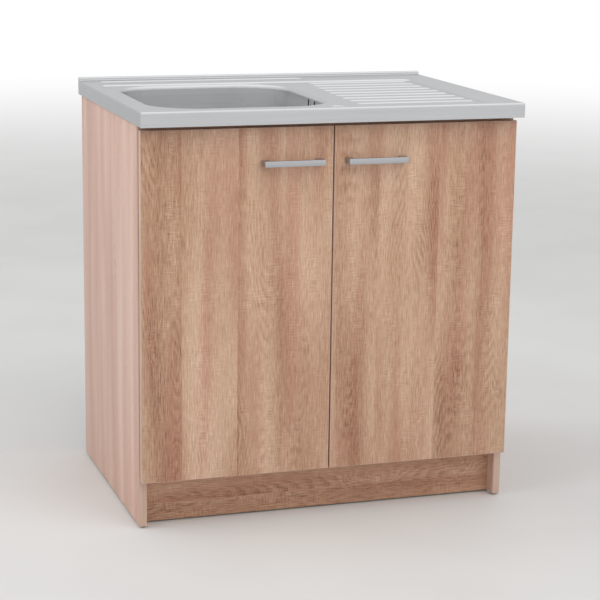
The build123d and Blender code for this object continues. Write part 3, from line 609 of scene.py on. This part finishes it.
@dataclass(frozen=True)
class MouldedPlastic:
    """Injection-moulded plastic or rubber with a fine spark-eroded grain.

    The eye sees one colour with hardly any cloudiness and a soft broad highlight. The real grain is
    0.05 mm: it is drawn at grain_mm, so that it shows.
    """

    name: str
    colour: str
    flow: str
    rough: float = 0.35
    smoothest: float = -0.04
    dullest: float = 0.08
    flow_mm: float = 24.0
    grain_mm: float = 0.8
    grain_depth_mm: float = 0.02

    def make(self) -> Material:
        """Build the material.

        Returns:
            The finished material.
        """
        coat = Coat(self.name)
        add = coat.add
        flow = add("TexNoise", coat.place, Scale=1 / self.flow_mm)
        grain = add("TexNoise", coat.place, Scale=1 / self.grain_mm)
        return coat.finish({
            "Base Color": coat.two_tone(flow, self.colour, self.flow)[1],
            "Roughness": add("MapRange", grain, *WIDE_SPAN, self.rough + self.smoothest,
                             self.rough + self.dullest),
        }, grain, self.grain_depth_mm)


@dataclass(frozen=True)
class TurnedBeech:
    """Beech dowel rod, fluted and sawn to length.

    The eye sees a pale pinkish wood with short darker flecks along the rod.
    """

    name: str
    wood: str = "D9B48A"
    fleck: str = "B98558"
    rough: float = 0.6
    fleck_mm: Point = (5.0, 0.9, 0.9)
    fleck_span: tuple[float, float] = (0.5, 0.75)
    flute_mm: float = 0.05

    def make(self) -> Material:
        """Build the material.

        Returns:
            The finished material.
        """
        coat = Coat(self.name)
        add = coat.add
        rod = add("VectorMath:DIVIDE", coat.place, self.fleck_mm)
        flecks = add("TexNoise", rod, Scale=1.0)
        return coat.finish({
            "Base Color": coat.two_tone(flecks, self.wood, self.fleck, self.fleck_span)[1],
            "Roughness": self.rough,
        }, flecks, self.flute_mm)


@dataclass
class Workpiece:
    """A mesh on the bench: one primitive that is shaped step by step in edit mode."""

    piece: Object

    @classmethod
    def start(cls, kind: str, **settings: Any) -> "Workpiece":
        """Add a primitive at its size and place, with nothing else selected, and open it.

        Args:
            kind: Name of the primitive operator, such as cube or cylinder.
            settings: Settings of that operator.

        Returns:
            The work piece, in edit mode.
        """
        if bpy.context.mode != "OBJECT":
            bpy.ops.object.mode_set(mode="OBJECT")
        bpy.ops.object.select_all(action="DESELECT")
        getattr(bpy.ops.mesh, f"primitive_{kind}_add")(**settings)
        bpy.ops.object.transform_apply(location=True, rotation=True, scale=True)
        bpy.ops.object.mode_set(mode="EDIT")
        return cls(bpy.context.active_object)

    @classmethod
    def block(cls, low: Sequence[float], high: Sequence[float]) -> "Workpiece":
        """Start with a block between two corners.

        Args:
            low: Lowest corner in metres.
            high: Highest corner in metres.

        Returns:
            The work piece, in edit mode.
        """
        middle = [(first + last) / 2 for first, last in zip(low, high)]
        size = [last - first for first, last in zip(low, high)]
        return cls.start("cube", size=1.0, location=middle, scale=size)

    def faces(self, test: Test) -> "Workpiece":
        """Select faces by their place.

        Args:
            test: Takes a face's middle and normal, and says whether to select it.

        Returns:
            The work piece.
        """
        bpy.ops.mesh.select_mode(type="FACE")
        bpy.ops.mesh.select_all(action="DESELECT")
        mesh = bmesh.from_edit_mesh(self.piece.data)
        for face in mesh.faces:
            face.select_set(test(face.calc_center_median(), face.normal))
        bmesh.update_edit_mesh(self.piece.data)
        return self

    def edges(self, test: Test) -> "Workpiece":
        """Select edges by their place.

        Args:
            test: Takes an edge's middle and direction, and says whether to select it.

        Returns:
            The work piece.
        """
        bpy.ops.mesh.select_mode(type="EDGE")
        bpy.ops.mesh.select_all(action="DESELECT")
        mesh = bmesh.from_edit_mesh(self.piece.data)
        for edge in mesh.edges:
            first, last = (vertex.co for vertex in edge.verts)
            edge.select_set(test((first + last) / 2, (last - first).normalized()))
        bmesh.update_edit_mesh(self.piece.data)
        return self

    def sharp(self, degrees: float = 30.0) -> "Workpiece":
        """Select the sharp edges.

        Args:
            degrees: Edges that turn by more than this are selected.

        Returns:
            The work piece.
        """
        bpy.ops.mesh.select_mode(type="EDGE")
        bpy.ops.mesh.select_all(action="DESELECT")
        bpy.ops.mesh.edges_select_sharp(sharpness=math.radians(degrees))
        return self

    def extrude(self, x: float = 0.0, y: float = 0.0, z: float = 0.0) -> "Workpiece":
        """Pull the selected faces out by a step in metres."""
        bpy.ops.mesh.extrude_region_move(TRANSFORM_OT_translate={"value": (x, y, z)})
        return self

    def inset(self, thickness: float) -> "Workpiece":
        """Draw a smaller outline inside the selected faces."""
        bpy.ops.mesh.inset(thickness=thickness)
        return self

    def slice(self, place: Sequence[float], normal: Sequence[float]) -> "Workpiece":
        """Cut new edges where a plane crosses the whole mesh."""
        bpy.ops.mesh.select_all(action="SELECT")
        bpy.ops.mesh.bisect(plane_co=tuple(place), plane_no=tuple(normal))
        return self

    def shrink(self, share: float, centre: Sequence[float]) -> "Workpiece":
        """Scale the selection about a point."""
        bpy.ops.transform.resize(value=(share, share, share), center_override=tuple(centre))
        return self

    def bevel(self, width: float, segments: int) -> "Workpiece":
        """Round the selected edges."""
        bpy.ops.mesh.bevel(offset=width, segments=segments, affect="EDGES", clamp_overlap=True)
        return self

    def cut(self, cutter: "Workpiece") -> "Workpiece":
        """Take another work piece's shape out of this one.

        Args:
            cutter: Shape to take out, used up by the cut.

        Returns:
            This work piece, in edit mode again.
        """
        bpy.ops.object.mode_set(mode="OBJECT")
        modifier = self.piece.modifiers.new("cut", "BOOLEAN")
        modifier.object, modifier.operation, modifier.solver = cutter.piece, "DIFFERENCE", "EXACT"
        bpy.context.view_layer.objects.active = self.piece
        bpy.ops.object.modifier_apply(modifier=modifier.name)
        bpy.data.objects.remove(cutter.piece)
        bpy.ops.object.select_all(action="DESELECT")
        self.piece.select_set(True)
        bpy.ops.object.mode_set(mode="EDIT")
        return self

    def finish(self, name: str, angle: float = 35.0) -> Object:
        """Close the mesh, name the piece and smooth it.

        Args:
            name: Name of the piece.
            angle: Edges that turn by more than this stay sharp, in degrees.

        Returns:
            The finished object.
        """
        bpy.ops.object.mode_set(mode="OBJECT")
        bpy.ops.object.select_all(action="DESELECT")
        self.piece.select_set(True)
        bpy.context.view_layer.objects.active = self.piece
        bpy.ops.object.shade_smooth_by_angle(angle=math.radians(angle))
        self.piece.name = self.piece.data.name = name
        return self.piece


def gather(model: Object, places: Sequence[Matrix], name: str) -> Object:
    """Copy a model to several places, each with its own mesh, and join the copies to one piece.

    Args:
        model: Finished model at the origin, used up here.
        places: Where the copies go.
        name: Name of the joined piece.

    Returns:
        The joined piece, with its place in its mesh.
    """
    copies = []
    for place in places:
        twin = model.copy()
        twin.data = model.data.copy()
        twin.matrix_world = place
        bpy.context.scene.collection.objects.link(twin)
        copies.append(twin)
    bpy.data.objects.remove(model)
    bpy.ops.object.select_all(action="DESELECT")
    for twin in copies:
        twin.select_set(True)
    bpy.context.view_layer.objects.active = copies[0]
    bpy.ops.object.transform_apply(location=True, rotation=True, scale=True)
    if len(copies) > 1:
        bpy.ops.object.join()
    joined = bpy.context.view_layer.objects.active
    joined.name = joined.data.name = name
    return joined


def place_piece(piece: Object, body: str, slot: str, material: Material, *replaced: str) -> None:
    """Hang a new piece on its body and finish it.

    Args:
        piece: The new piece.
        body: Body that it rides on.
        slot: Material slot of the record that it takes; not used.
        material: Its material.
        replaced: CAD nodes that it stands for.
    """
    piece.data.materials.clear()
    piece.data.materials.append(material)
    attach(piece, body)
    if replaced:
        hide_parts(*replaced)
    LOG.info("placed %s on %s", piece.name, body)


def made(finish: Any) -> Any:
    """Give a field that holds the material of a finish, made with its owner."""
    return field(default_factory=finish.make)


@dataclass
class Finishes:
    """All materials of the unit, made once and in this order."""

    steel: Material = made(SatinStainless("satin_stainless_sheet", drawn_dulling=0.29))
    waste_steel: Material = made(SatinStainless("polished_stainless_waste", rough=0.16, line_mm=0.8))
    handle: Material = made(SatinAluminium("brushed_anodised_aluminium"))
    nickel: Material = made(PlatedMetal("nickel_plated_steel", "CFCBC2", "B9B5AC", 0.18))
    zinc: Material = made(PlatedMetal("zinc_plated_steel", "C8CCD2", "A9AEB5", 0.28, 2.0))
    cast: Material = made(PlatedMetal("zinc_die_casting", "AEB0B3", "8E9094", 0.42, 1.5))
    beech: Material = made(TurnedBeech("turned_beech"))
    trap: Material = made(MouldedPlastic("white_polypropylene", "E9EAE8", "DFE0DE", 0.30))
    pipe: Material = made(MouldedPlastic("white_extruded_polypropylene", "E4E5E3", "DADBD9", 0.38))
    glide: Material = made(MouldedPlastic("white_polyethylene", "E6E5E0", "D6D4CE", 0.45))
    buffer: Material = made(MouldedPlastic("milky_polyurethane", "DAD9D2", "CFCEC6", 0.25))
    rubber: Material = made(MouldedPlastic("black_nitrile_rubber", "1B1B1C", "242425", 0.55))


@dataclass
class Assembly:
    """A part of the unit: all CAD nodes by name, and the finishes."""

    nodes: dict[str, Object]
    finishes: Finishes

    def dress(self, material: Material, *names: str) -> None:
        """Give CAD nodes a material.

        Args:
            material: Material for all their slots.
            names: Nodes to dress.
        """
        for name in names:
            mesh = self.nodes[name].data
            if not mesh.materials:
                mesh.materials.append(material)
            for index in range(len(mesh.materials)):
                mesh.materials[index] = material
            LOG.info("dressed %s in %s", name, material.name)


@dataclass
class SinkTop(Assembly):
    """Pressed steel top with its bowl and drainer."""

    def build(self) -> None:
        """Dress the pressed sheet."""
        self.dress(self.finishes.steel, "sink_top")


@dataclass
class Plumbing(Assembly):
    """Waste, basket, overflow, trap and drain."""

    def build(self) -> None:
        """Dress every plumbing piece."""
        self.dress(self.finishes.waste_steel, "waste_strainer", "strainer_basket", "basket_knob")
        self.dress(self.finishes.rubber, "basket_seal", "waste_gasket", "overflow_gasket")
        self.dress(self.finishes.zinc, "waste_screw", "overflow_screw")
        self.dress(self.finishes.trap, "waste_body", "overflow_head", "trap_inlet_tube", "trap_top_nut",
                   "trap_neck_nut", "trap_body", "trap_cup", "drain_nut")
        self.dress(self.finishes.pipe, "overflow_pipe", "drain_pipe")


@dataclass
class Board:
    """A board with softly rounded edges that stands for its plain CAD node."""

    node: str
    body: str
    slot: str
    decor: SawnOakDecor
    edge_round: float = 0.8 * MM
    pockets: list[tuple[Point, float, float]] = field(default_factory=list)

    def build(self) -> None:
        """Model the board, cut its pockets and hang it on its body."""
        low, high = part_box(self.node)
        work = Workpiece.block(low, high).sharp().bevel(self.edge_round, 3)
        for centre, radius, depth in self.pockets:
            work.cut(Workpiece.start("cylinder", vertices=64, radius=radius, depth=depth, location=centre,
                                     rotation=(math.pi / 2, 0, 0)))
        decor = replace(self.decor, low=tuple(low), high=tuple(high))
        place_piece(work.finish(self.node + "_board"), self.body, self.slot, decor.make(), self.node)


@dataclass
class Carcass(Assembly):
    """Boards of the cabinet and the fittings that hold them."""

    def build(self) -> None:
        """Model the side panels and dress the rest."""
        for index, side in enumerate(("left", "right")):
            # The side panels get a paler, pinker and flatter copy of the doors' oak tones: painted sheen,
            # standing in for the light from the left on them.
            decor = SawnOakDecor(f"sawn_oak_{side}_side", Grain.UPRIGHT_SIDE, Edge.FRONT_TAPED, 3.1 + index,
                                 tones=("9E7E6B", "BD9987", "D0AD9C", "DDC0B1", "EBD6C9"),
                                 redness=0.5, contrast=0.36)
            Board(f"{side}_side_panel", "cabinet", "side_board", decor).build()
        shelf = SawnOakDecor("sawn_oak_bottom", Grain.LEVEL_SHELF, Edge.FRONT_TAPED, 5.7).make()
        rail = SawnOakDecor("sawn_oak_rail", Grain.LEVEL_FRONT, Edge.FRONT_TAPED, 6.3).make()
        # The plinth gets the doors' oak tones a little darker: painted shade, standing in for the recess
        # under the doors.
        plinth = SawnOakDecor("sawn_oak_plinth", Grain.LEVEL_FRONT, Edge.FRONT_TAPED, 7.9,
                              tones=("86624A", "AE856A", "C39C80", "D4B094", "E5C8AB")).make()
        self.dress(shelf, "bottom_panel")
        self.dress(rail, "front_rail", "rear_upper_rail", "rear_lower_rail")
        self.dress(plinth, "plinth_board")
        self.dress(self.finishes.cast, "cam_housings")
        self.dress(self.finishes.zinc, "cam_bolts", "glide_nails")
        self.dress(self.finishes.beech, "wood_dowels")
        self.dress(self.finishes.glide, "floor_glides")
        self.dress(self.finishes.buffer, "door_buffers")


@dataclass
class Handle:
    """Bow handle: a flat bar on two legs, corners rounded, edges broken and brushed."""

    side: str
    finish: Material
    bar: float = 8 * MM
    leg: float = 14 * MM
    corner_round: float = 2 * MM
    edge_round: float = 0.7 * MM

    def build(self) -> None:
        """Pull the legs out of a bar, round it and hang it on its door."""
        low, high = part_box(f"{self.side}_handle")
        back = low.y + self.bar
        work = Workpiece.block(low, (high.x, back, high.z))
        for x in (low.x + self.leg, high.x - self.leg):
            work.slice((x, 0, 0), (1, 0, 0))
        middle, half = (low.x + high.x) / 2, (high.x - low.x) / 2
        work.faces(lambda at, facing: facing.y > ALONG_AXIS and abs(at.x - middle) > half - self.leg)
        work.extrude(y=high.y - back)
        work.edges(lambda at, along: abs(along.z) > ALONG_AXIS and at.y < low.y + NEAR
                   and abs(at.x - middle) > half - NEAR)
        work.bevel(self.corner_round, 4)
        work.sharp(50.0).bevel(self.edge_round, 3)
        piece = work.finish(f"{self.side}_handle_bow", 40.0)
        place_piece(piece, f"{self.side}_door", "satin_handle", self.finish, f"{self.side}_handle")


@dataclass
class PanScrew:
    """Pan-head screw with a cross recess; its seat is at the origin and its head points up Z."""

    length: float
    shank: float = 1.8 * MM
    head: float = 3.6 * MM
    head_height: float = 1.6 * MM
    crown: float = 0.62
    tip: float = 0.2
    point: float = 0.12
    slot_reach: float = 0.62
    slot_width: float = 0.9 * MM
    slot_depth: float = 0.9 * MM
    slot_draft: float = 0.7

    def model(self) -> Object:
        """Model the screw once.

        Returns:
            The screw at the origin.
        """
        top = self.head_height
        work = Workpiece.start("cylinder", vertices=32, radius=self.head, depth=top,
                               location=(0, 0, top / 2))
        work.edges(lambda at, along: at.z > top - NEAR).bevel(top * self.crown, 4)
        work.faces(lambda at, facing: facing.z < -ALONG_AXIS).inset(self.head - self.shank)
        work.extrude(z=-self.length * (1 - self.tip)).extrude(z=-self.length * self.tip)
        work.shrink(self.point, (0, 0, -self.length))
        floor = top - self.slot_depth
        reach, half = self.head * self.slot_reach, self.slot_width / 2
        for x, y in ((reach, half), (half, reach)):
            slot = Workpiece.block((-x, -y, floor), (x, y, top + OVERCUT))
            slot.faces(lambda at, facing: facing.z < -ALONG_AXIS).shrink(self.slot_draft, (0, 0, floor))
            work.cut(slot)
        return work.finish("pan_screw", 40.0)


def aim(seat: Sequence[float], outward: Sequence[float], turn: float = 0.0) -> Matrix:
    """Place for a screw.

    Args:
        seat: Point under the head, in metres.
        outward: Direction in which the head points.
        turn: Angle of its cross recess in degrees.

    Returns:
        The place as a matrix.
    """
    lean = Vector(outward).to_track_quat("Z", "Y").to_matrix().to_4x4()
    return Matrix.Translation(seat) @ lean @ Matrix.Rotation(math.radians(turn), 4, "Z")


@dataclass
class Hinges(Assembly):
    """Screws of the four cup hinges, and the plated cups, arms and plates.

    The turns at which the crosses of the screws stopped are in degrees: the first one's, the step
    from hinge to hinge, and the step from a hinge's middle to its upper screw.
    """

    wing_half: float = 31 * MM
    cup_screw_in: float = 24 * MM
    cup_screw_half: float = 24 * MM
    flange: float = 1.2 * MM
    plate: float = 2.2 * MM
    arm: float = 2.4 * MM
    plate_screw_back: float = 41 * MM
    plate_screw_half: float = 16 * MM
    arm_screw_back: float = 52 * MM
    bite: float = 11 * MM
    cup_turns: Point = (20, 37, 11)
    plate_turns: Point = (0, 15, 31)
    arm_turns: Point = (9, 28, 0)

    def build(self) -> None:
        """Dress the hinges and fit all their screws."""
        self.dress(self.finishes.nickel, "hinge_plates")
        short, long = [], []
        for side, way in (("left", 1.0), ("right", -1.0)):
            self.dress(self.finishes.nickel, f"{side}_hinge_cups", f"{side}_hinge_arms")
            self.dress(self.finishes.zinc, f"{side}_hinge_pins")
            cups_low, cups_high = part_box(f"{side}_hinge_cups")
            door_low, door_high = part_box(f"{side}_door")
            panel_low, panel_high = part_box(f"{side}_side_panel")
            edge = door_low.x if way > 0 else door_high.x
            wall = panel_high.x if way > 0 else panel_low.x
            back = door_high.y
            in_door = []
            for number, z in enumerate((cups_low.z + self.wing_half, cups_high.z - self.wing_half)):
                for up in (-1, 1):
                    seat = (edge + way * self.cup_screw_in, back + self.flange, z + up * self.cup_screw_half)
                    in_door.append(aim(seat, (0, 1, 0), self._turn(self.cup_turns, number, up)))
                    seat = (wall + way * self.plate, back + self.plate_screw_back,
                            z + up * self.plate_screw_half)
                    short.append(aim(seat, (way, 0, 0), self._turn(self.plate_turns, number, up)))
                seat = (wall + way * (self.plate + self.arm), back + self.arm_screw_back, z)
                long.append(aim(seat, (way, 0, 0), self._turn(self.arm_turns, number, 0)))
            self._screws(self.flange, in_door, f"{side}_cup_pan_screws", f"{side}_door", f"{side}_cup_screws")
        self._screws(self.plate, short, "plate_pan_screws", "cabinet", "hinge_plate_screws")
        self._screws(self.plate + self.arm, long, "arm_pan_screws", "cabinet", "hinge_plate_screws")

    def _screws(self, grip: float, places: Sequence[Matrix], name: str, body: str, replaced: str) -> None:
        """Fit screws of one length.

        Args:
            grip: Thickness of metal under the heads in metres.
            places: Where the screws go.
            name: Name of the piece.
            body: Body that they ride on.
            replaced: CAD node that they stand for.
        """
        screws = gather(PanScrew(grip + self.bite).model(), places, name)
        place_piece(screws, body, "zinc_plated_steel", self.finishes.zinc, replaced)

    def _turn(self, turns: Point, number: int, up: int) -> float:
        """Give the turn of one screw's cross in degrees."""
        return turns[0] + turns[1] * number + turns[2] * up


@dataclass
class Door(Assembly):
    """One door with its handle."""

    side: str
    seed: float
    band_mm: float = 1.0
    cup_in: float = 20.5 * MM
    cup_radius: float = 17.5 * MM
    cup_depth: float = 11.6 * MM
    handle_shank: float = 2 * MM
    screw_turns: tuple[float, float] = (25, 62)

    def build(self) -> None:
        """Model the door board, the handle and the handle's screws."""
        name = f"{self.side}_door"
        decor = SawnOakDecor("sawn_oak_" + name, Grain.UPRIGHT_FRONT, Edge.TAPED, self.seed,
                             band_mm=self.band_mm)
        Board(name, name, "door_board", decor, pockets=self._cup_bores()).build()
        Handle(self.side, self.finishes.handle).build()
        self._handle_screws()

    def _handle_screws(self) -> None:
        """Fit the two screws that come through the door into the handle's legs."""
        low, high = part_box(f"{self.side}_handle_screws")
        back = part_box(f"{self.side}_door")[1].y
        z = (low.z + high.z) / 2
        ends = (low.x + PanScrew.head, high.x - PanScrew.head)
        places = [aim((x, back, z), (0, 1, 0), turn) for x, turn in zip(ends, self.screw_turns)]
        model = PanScrew(back - low.y, shank=self.handle_shank).model()
        screws = gather(model, places, f"{self.side}_handle_pan_screws")
        place_piece(screws, f"{self.side}_door", "zinc_plated_steel", self.finishes.zinc,
                    f"{self.side}_handle_screws")

    def _cup_bores(self) -> list[tuple[Point, float, float]]:
        """Places of the two cup bores.

        Returns:
            Centre, radius and cutter length of each bore.
        """
        low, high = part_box(f"{self.side}_door")
        cups_low, cups_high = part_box(f"{self.side}_hinge_cups")
        x = low.x + self.cup_in if self.side == "left" else high.x - self.cup_in
        y = high.y - self.cup_depth / 2 + OVERCUT / 2
        heights = (cups_low.z + Hinges.wing_half, cups_high.z - Hinges.wing_half)
        return [((x, y, z), self.cup_radius, self.cup_depth + OVERCUT) for z in heights]


@dataclass(frozen=True)
class Softbox:
    """Square soft lamp: place and side length in metres, power in watts, and whether metal shows it."""

    name: str
    place: Point
    size: float
    power: float
    mirrored: bool = False

    def hang(self, middle: Point) -> None:
        """Hang the lamp and aim it.

        Args:
            middle: Point that it is aimed at.
        """
        data = bpy.data.lights.new(self.name, "AREA")
        data.size = self.size
        data.energy = self.power
        lamp = bpy.data.objects.new(self.name, data)
        lamp.location = self.place
        lamp.rotation_euler = (Vector(middle) - Vector(self.place)).to_track_quat("-Z", "Y").to_euler()
        lamp.visible_glossy = self.mirrored
        bpy.context.scene.collection.objects.link(lamp)


@dataclass(frozen=True)
class Viewpoint:
    """Camera where the photograph was taken from: angles in degrees, lengths in metres."""

    yaw: float = 18.212
    pitch: float = 12.663
    roll: float = 0.793
    target: Point = (0.02203, 0.0, 0.39602)
    distance: float = 4.019461
    focal_px: float = 1851.216
    frame_px: float = 600.0
    sensor_mm: float = 36.0

    def stand(self) -> None:
        """Stand the camera and make it the scene's."""
        yaw, pitch, roll = (math.radians(angle) for angle in (self.yaw, self.pitch, self.roll))
        forward = Vector((math.sin(yaw) * math.cos(pitch), math.cos(yaw) * math.cos(pitch),
                          -math.sin(pitch)))
        level = Vector((math.cos(yaw), -math.sin(yaw), 0.0))
        upright = level.cross(forward)
        right = math.cos(roll) * level + math.sin(roll) * upright
        up = -math.sin(roll) * level + math.cos(roll) * upright
        data = bpy.data.cameras.new("camera")
        data.sensor_width = self.sensor_mm
        data.lens = self.sensor_mm * self.focal_px / self.frame_px
        camera = bpy.data.objects.new("camera", data)
        camera.rotation_mode = "QUATERNION"
        camera.rotation_quaternion = Matrix((right, up, -forward)).transposed().to_quaternion()
        camera.location = Vector(self.target) - forward * self.distance
        bpy.context.scene.collection.objects.link(camera)
        bpy.context.scene.camera = camera


@dataclass
class Studio:
    """Plain floor, soft lamps, white surroundings and the camera."""

    middle: Point = (0.0, 0.0, 0.43)
    ambient: float = 0.42
    floor_size: float = 120.0
    floor_rough: float = 0.75
    mottle_mm: float = 400.0
    fade_mm: tuple[float, float] = (2200.0, 9000.0)
    softboxes: tuple[Softbox, ...] = (
        Softbox("front_softbox", (2.4, -5.6, 4.6), 9.0, 302.0),
        Softbox("left_softbox", (-5.2, 0.3, 3.8), 6.5, 176.0),
        Softbox("top_softbox", (0.0, 0.3, 4.6), 7.0, 60.0, mirrored=True),
    )

    def build(self) -> None:
        """Set up everything round the unit."""
        self._floor()
        self._surroundings()
        for softbox in self.softboxes:
            softbox.hang(self.middle)
        Viewpoint().stand()
        bpy.context.scene.view_settings.view_transform = "Standard"

    def _floor(self) -> None:
        """Pale floor that keeps the unit's shadow and fades into the white surroundings."""
        floor = Workpiece.start("plane", size=self.floor_size).finish("studio_floor")
        coat = Coat("pale_studio_floor")
        add = coat.add
        mottle = add("TexNoise", coat.place, Scale=1 / self.mottle_mm)
        coat.finish({"Base Color": coat.two_tone(mottle, "E0E0DF", "DCDCDB", WIDE_SPAN)[1],
                     "Roughness": self.floor_rough})
        away = add("VectorMath:LENGTH", coat.place)
        far = add("MapRange:SMOOTHSTEP", away, *self.fade_mm)
        glow = add("Emission", "FFFFFF", 1.0)
        share = add("Math:MULTIPLY", far, self._white_rays(add))
        both = add("MixShader", share, coat.shader, glow)
        fill(coat.material.node_tree.nodes["Material Output"], {"Surface": both})
        floor.data.materials.append(coat.material)

    def _surroundings(self) -> None:
        """White to the camera and in reflections, a plain soft level on the unit."""
        world = bpy.data.worlds.new("studio_surroundings")
        bpy.context.scene.world = world
        world.use_nodes = True
        world.node_tree.nodes.clear()
        add = partial(add_node, world.node_tree)
        soft = add("Background", "FFFFFF", self.ambient)
        white = add("Background", "FFFFFF", 1.0)
        add("OutputWorld", add("MixShader", self._white_rays(add), soft, white))

    def _white_rays(self, add: Callable[..., Node]) -> Node:
        """Tell the rays that see plain white: those from the camera, in metal and through glass.

        Args:
            add: Adds a node to the tree that asks.

        Returns:
            1 for such a ray and 0 for the rest.
        """
        path = add("LightPath").outputs
        seen = add("Math:MAXIMUM", path["Is Camera Ray"], path["Is Glossy Ray"])
        return add("Math:MAXIMUM", seen, path["Is Transmission Ray"])


def main() -> None:
    """Build the unit piece by piece and stand it in the studio."""
    logging.basicConfig(level=logging.INFO)
    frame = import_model()
    nodes = frame["nodes"]
    finishes = Finishes()
    SinkTop(nodes, finishes).build()
    Plumbing(nodes, finishes).build()
    Carcass(nodes, finishes).build()
    Door(nodes, finishes, "left", seed=1.3).build()
    Door(nodes, finishes, "right", seed=2.6).build()
    Hinges(nodes, finishes).build()
    Studio().build()
    bpy.context.view_layer.update()


if __name__ == "__main__":
    main()
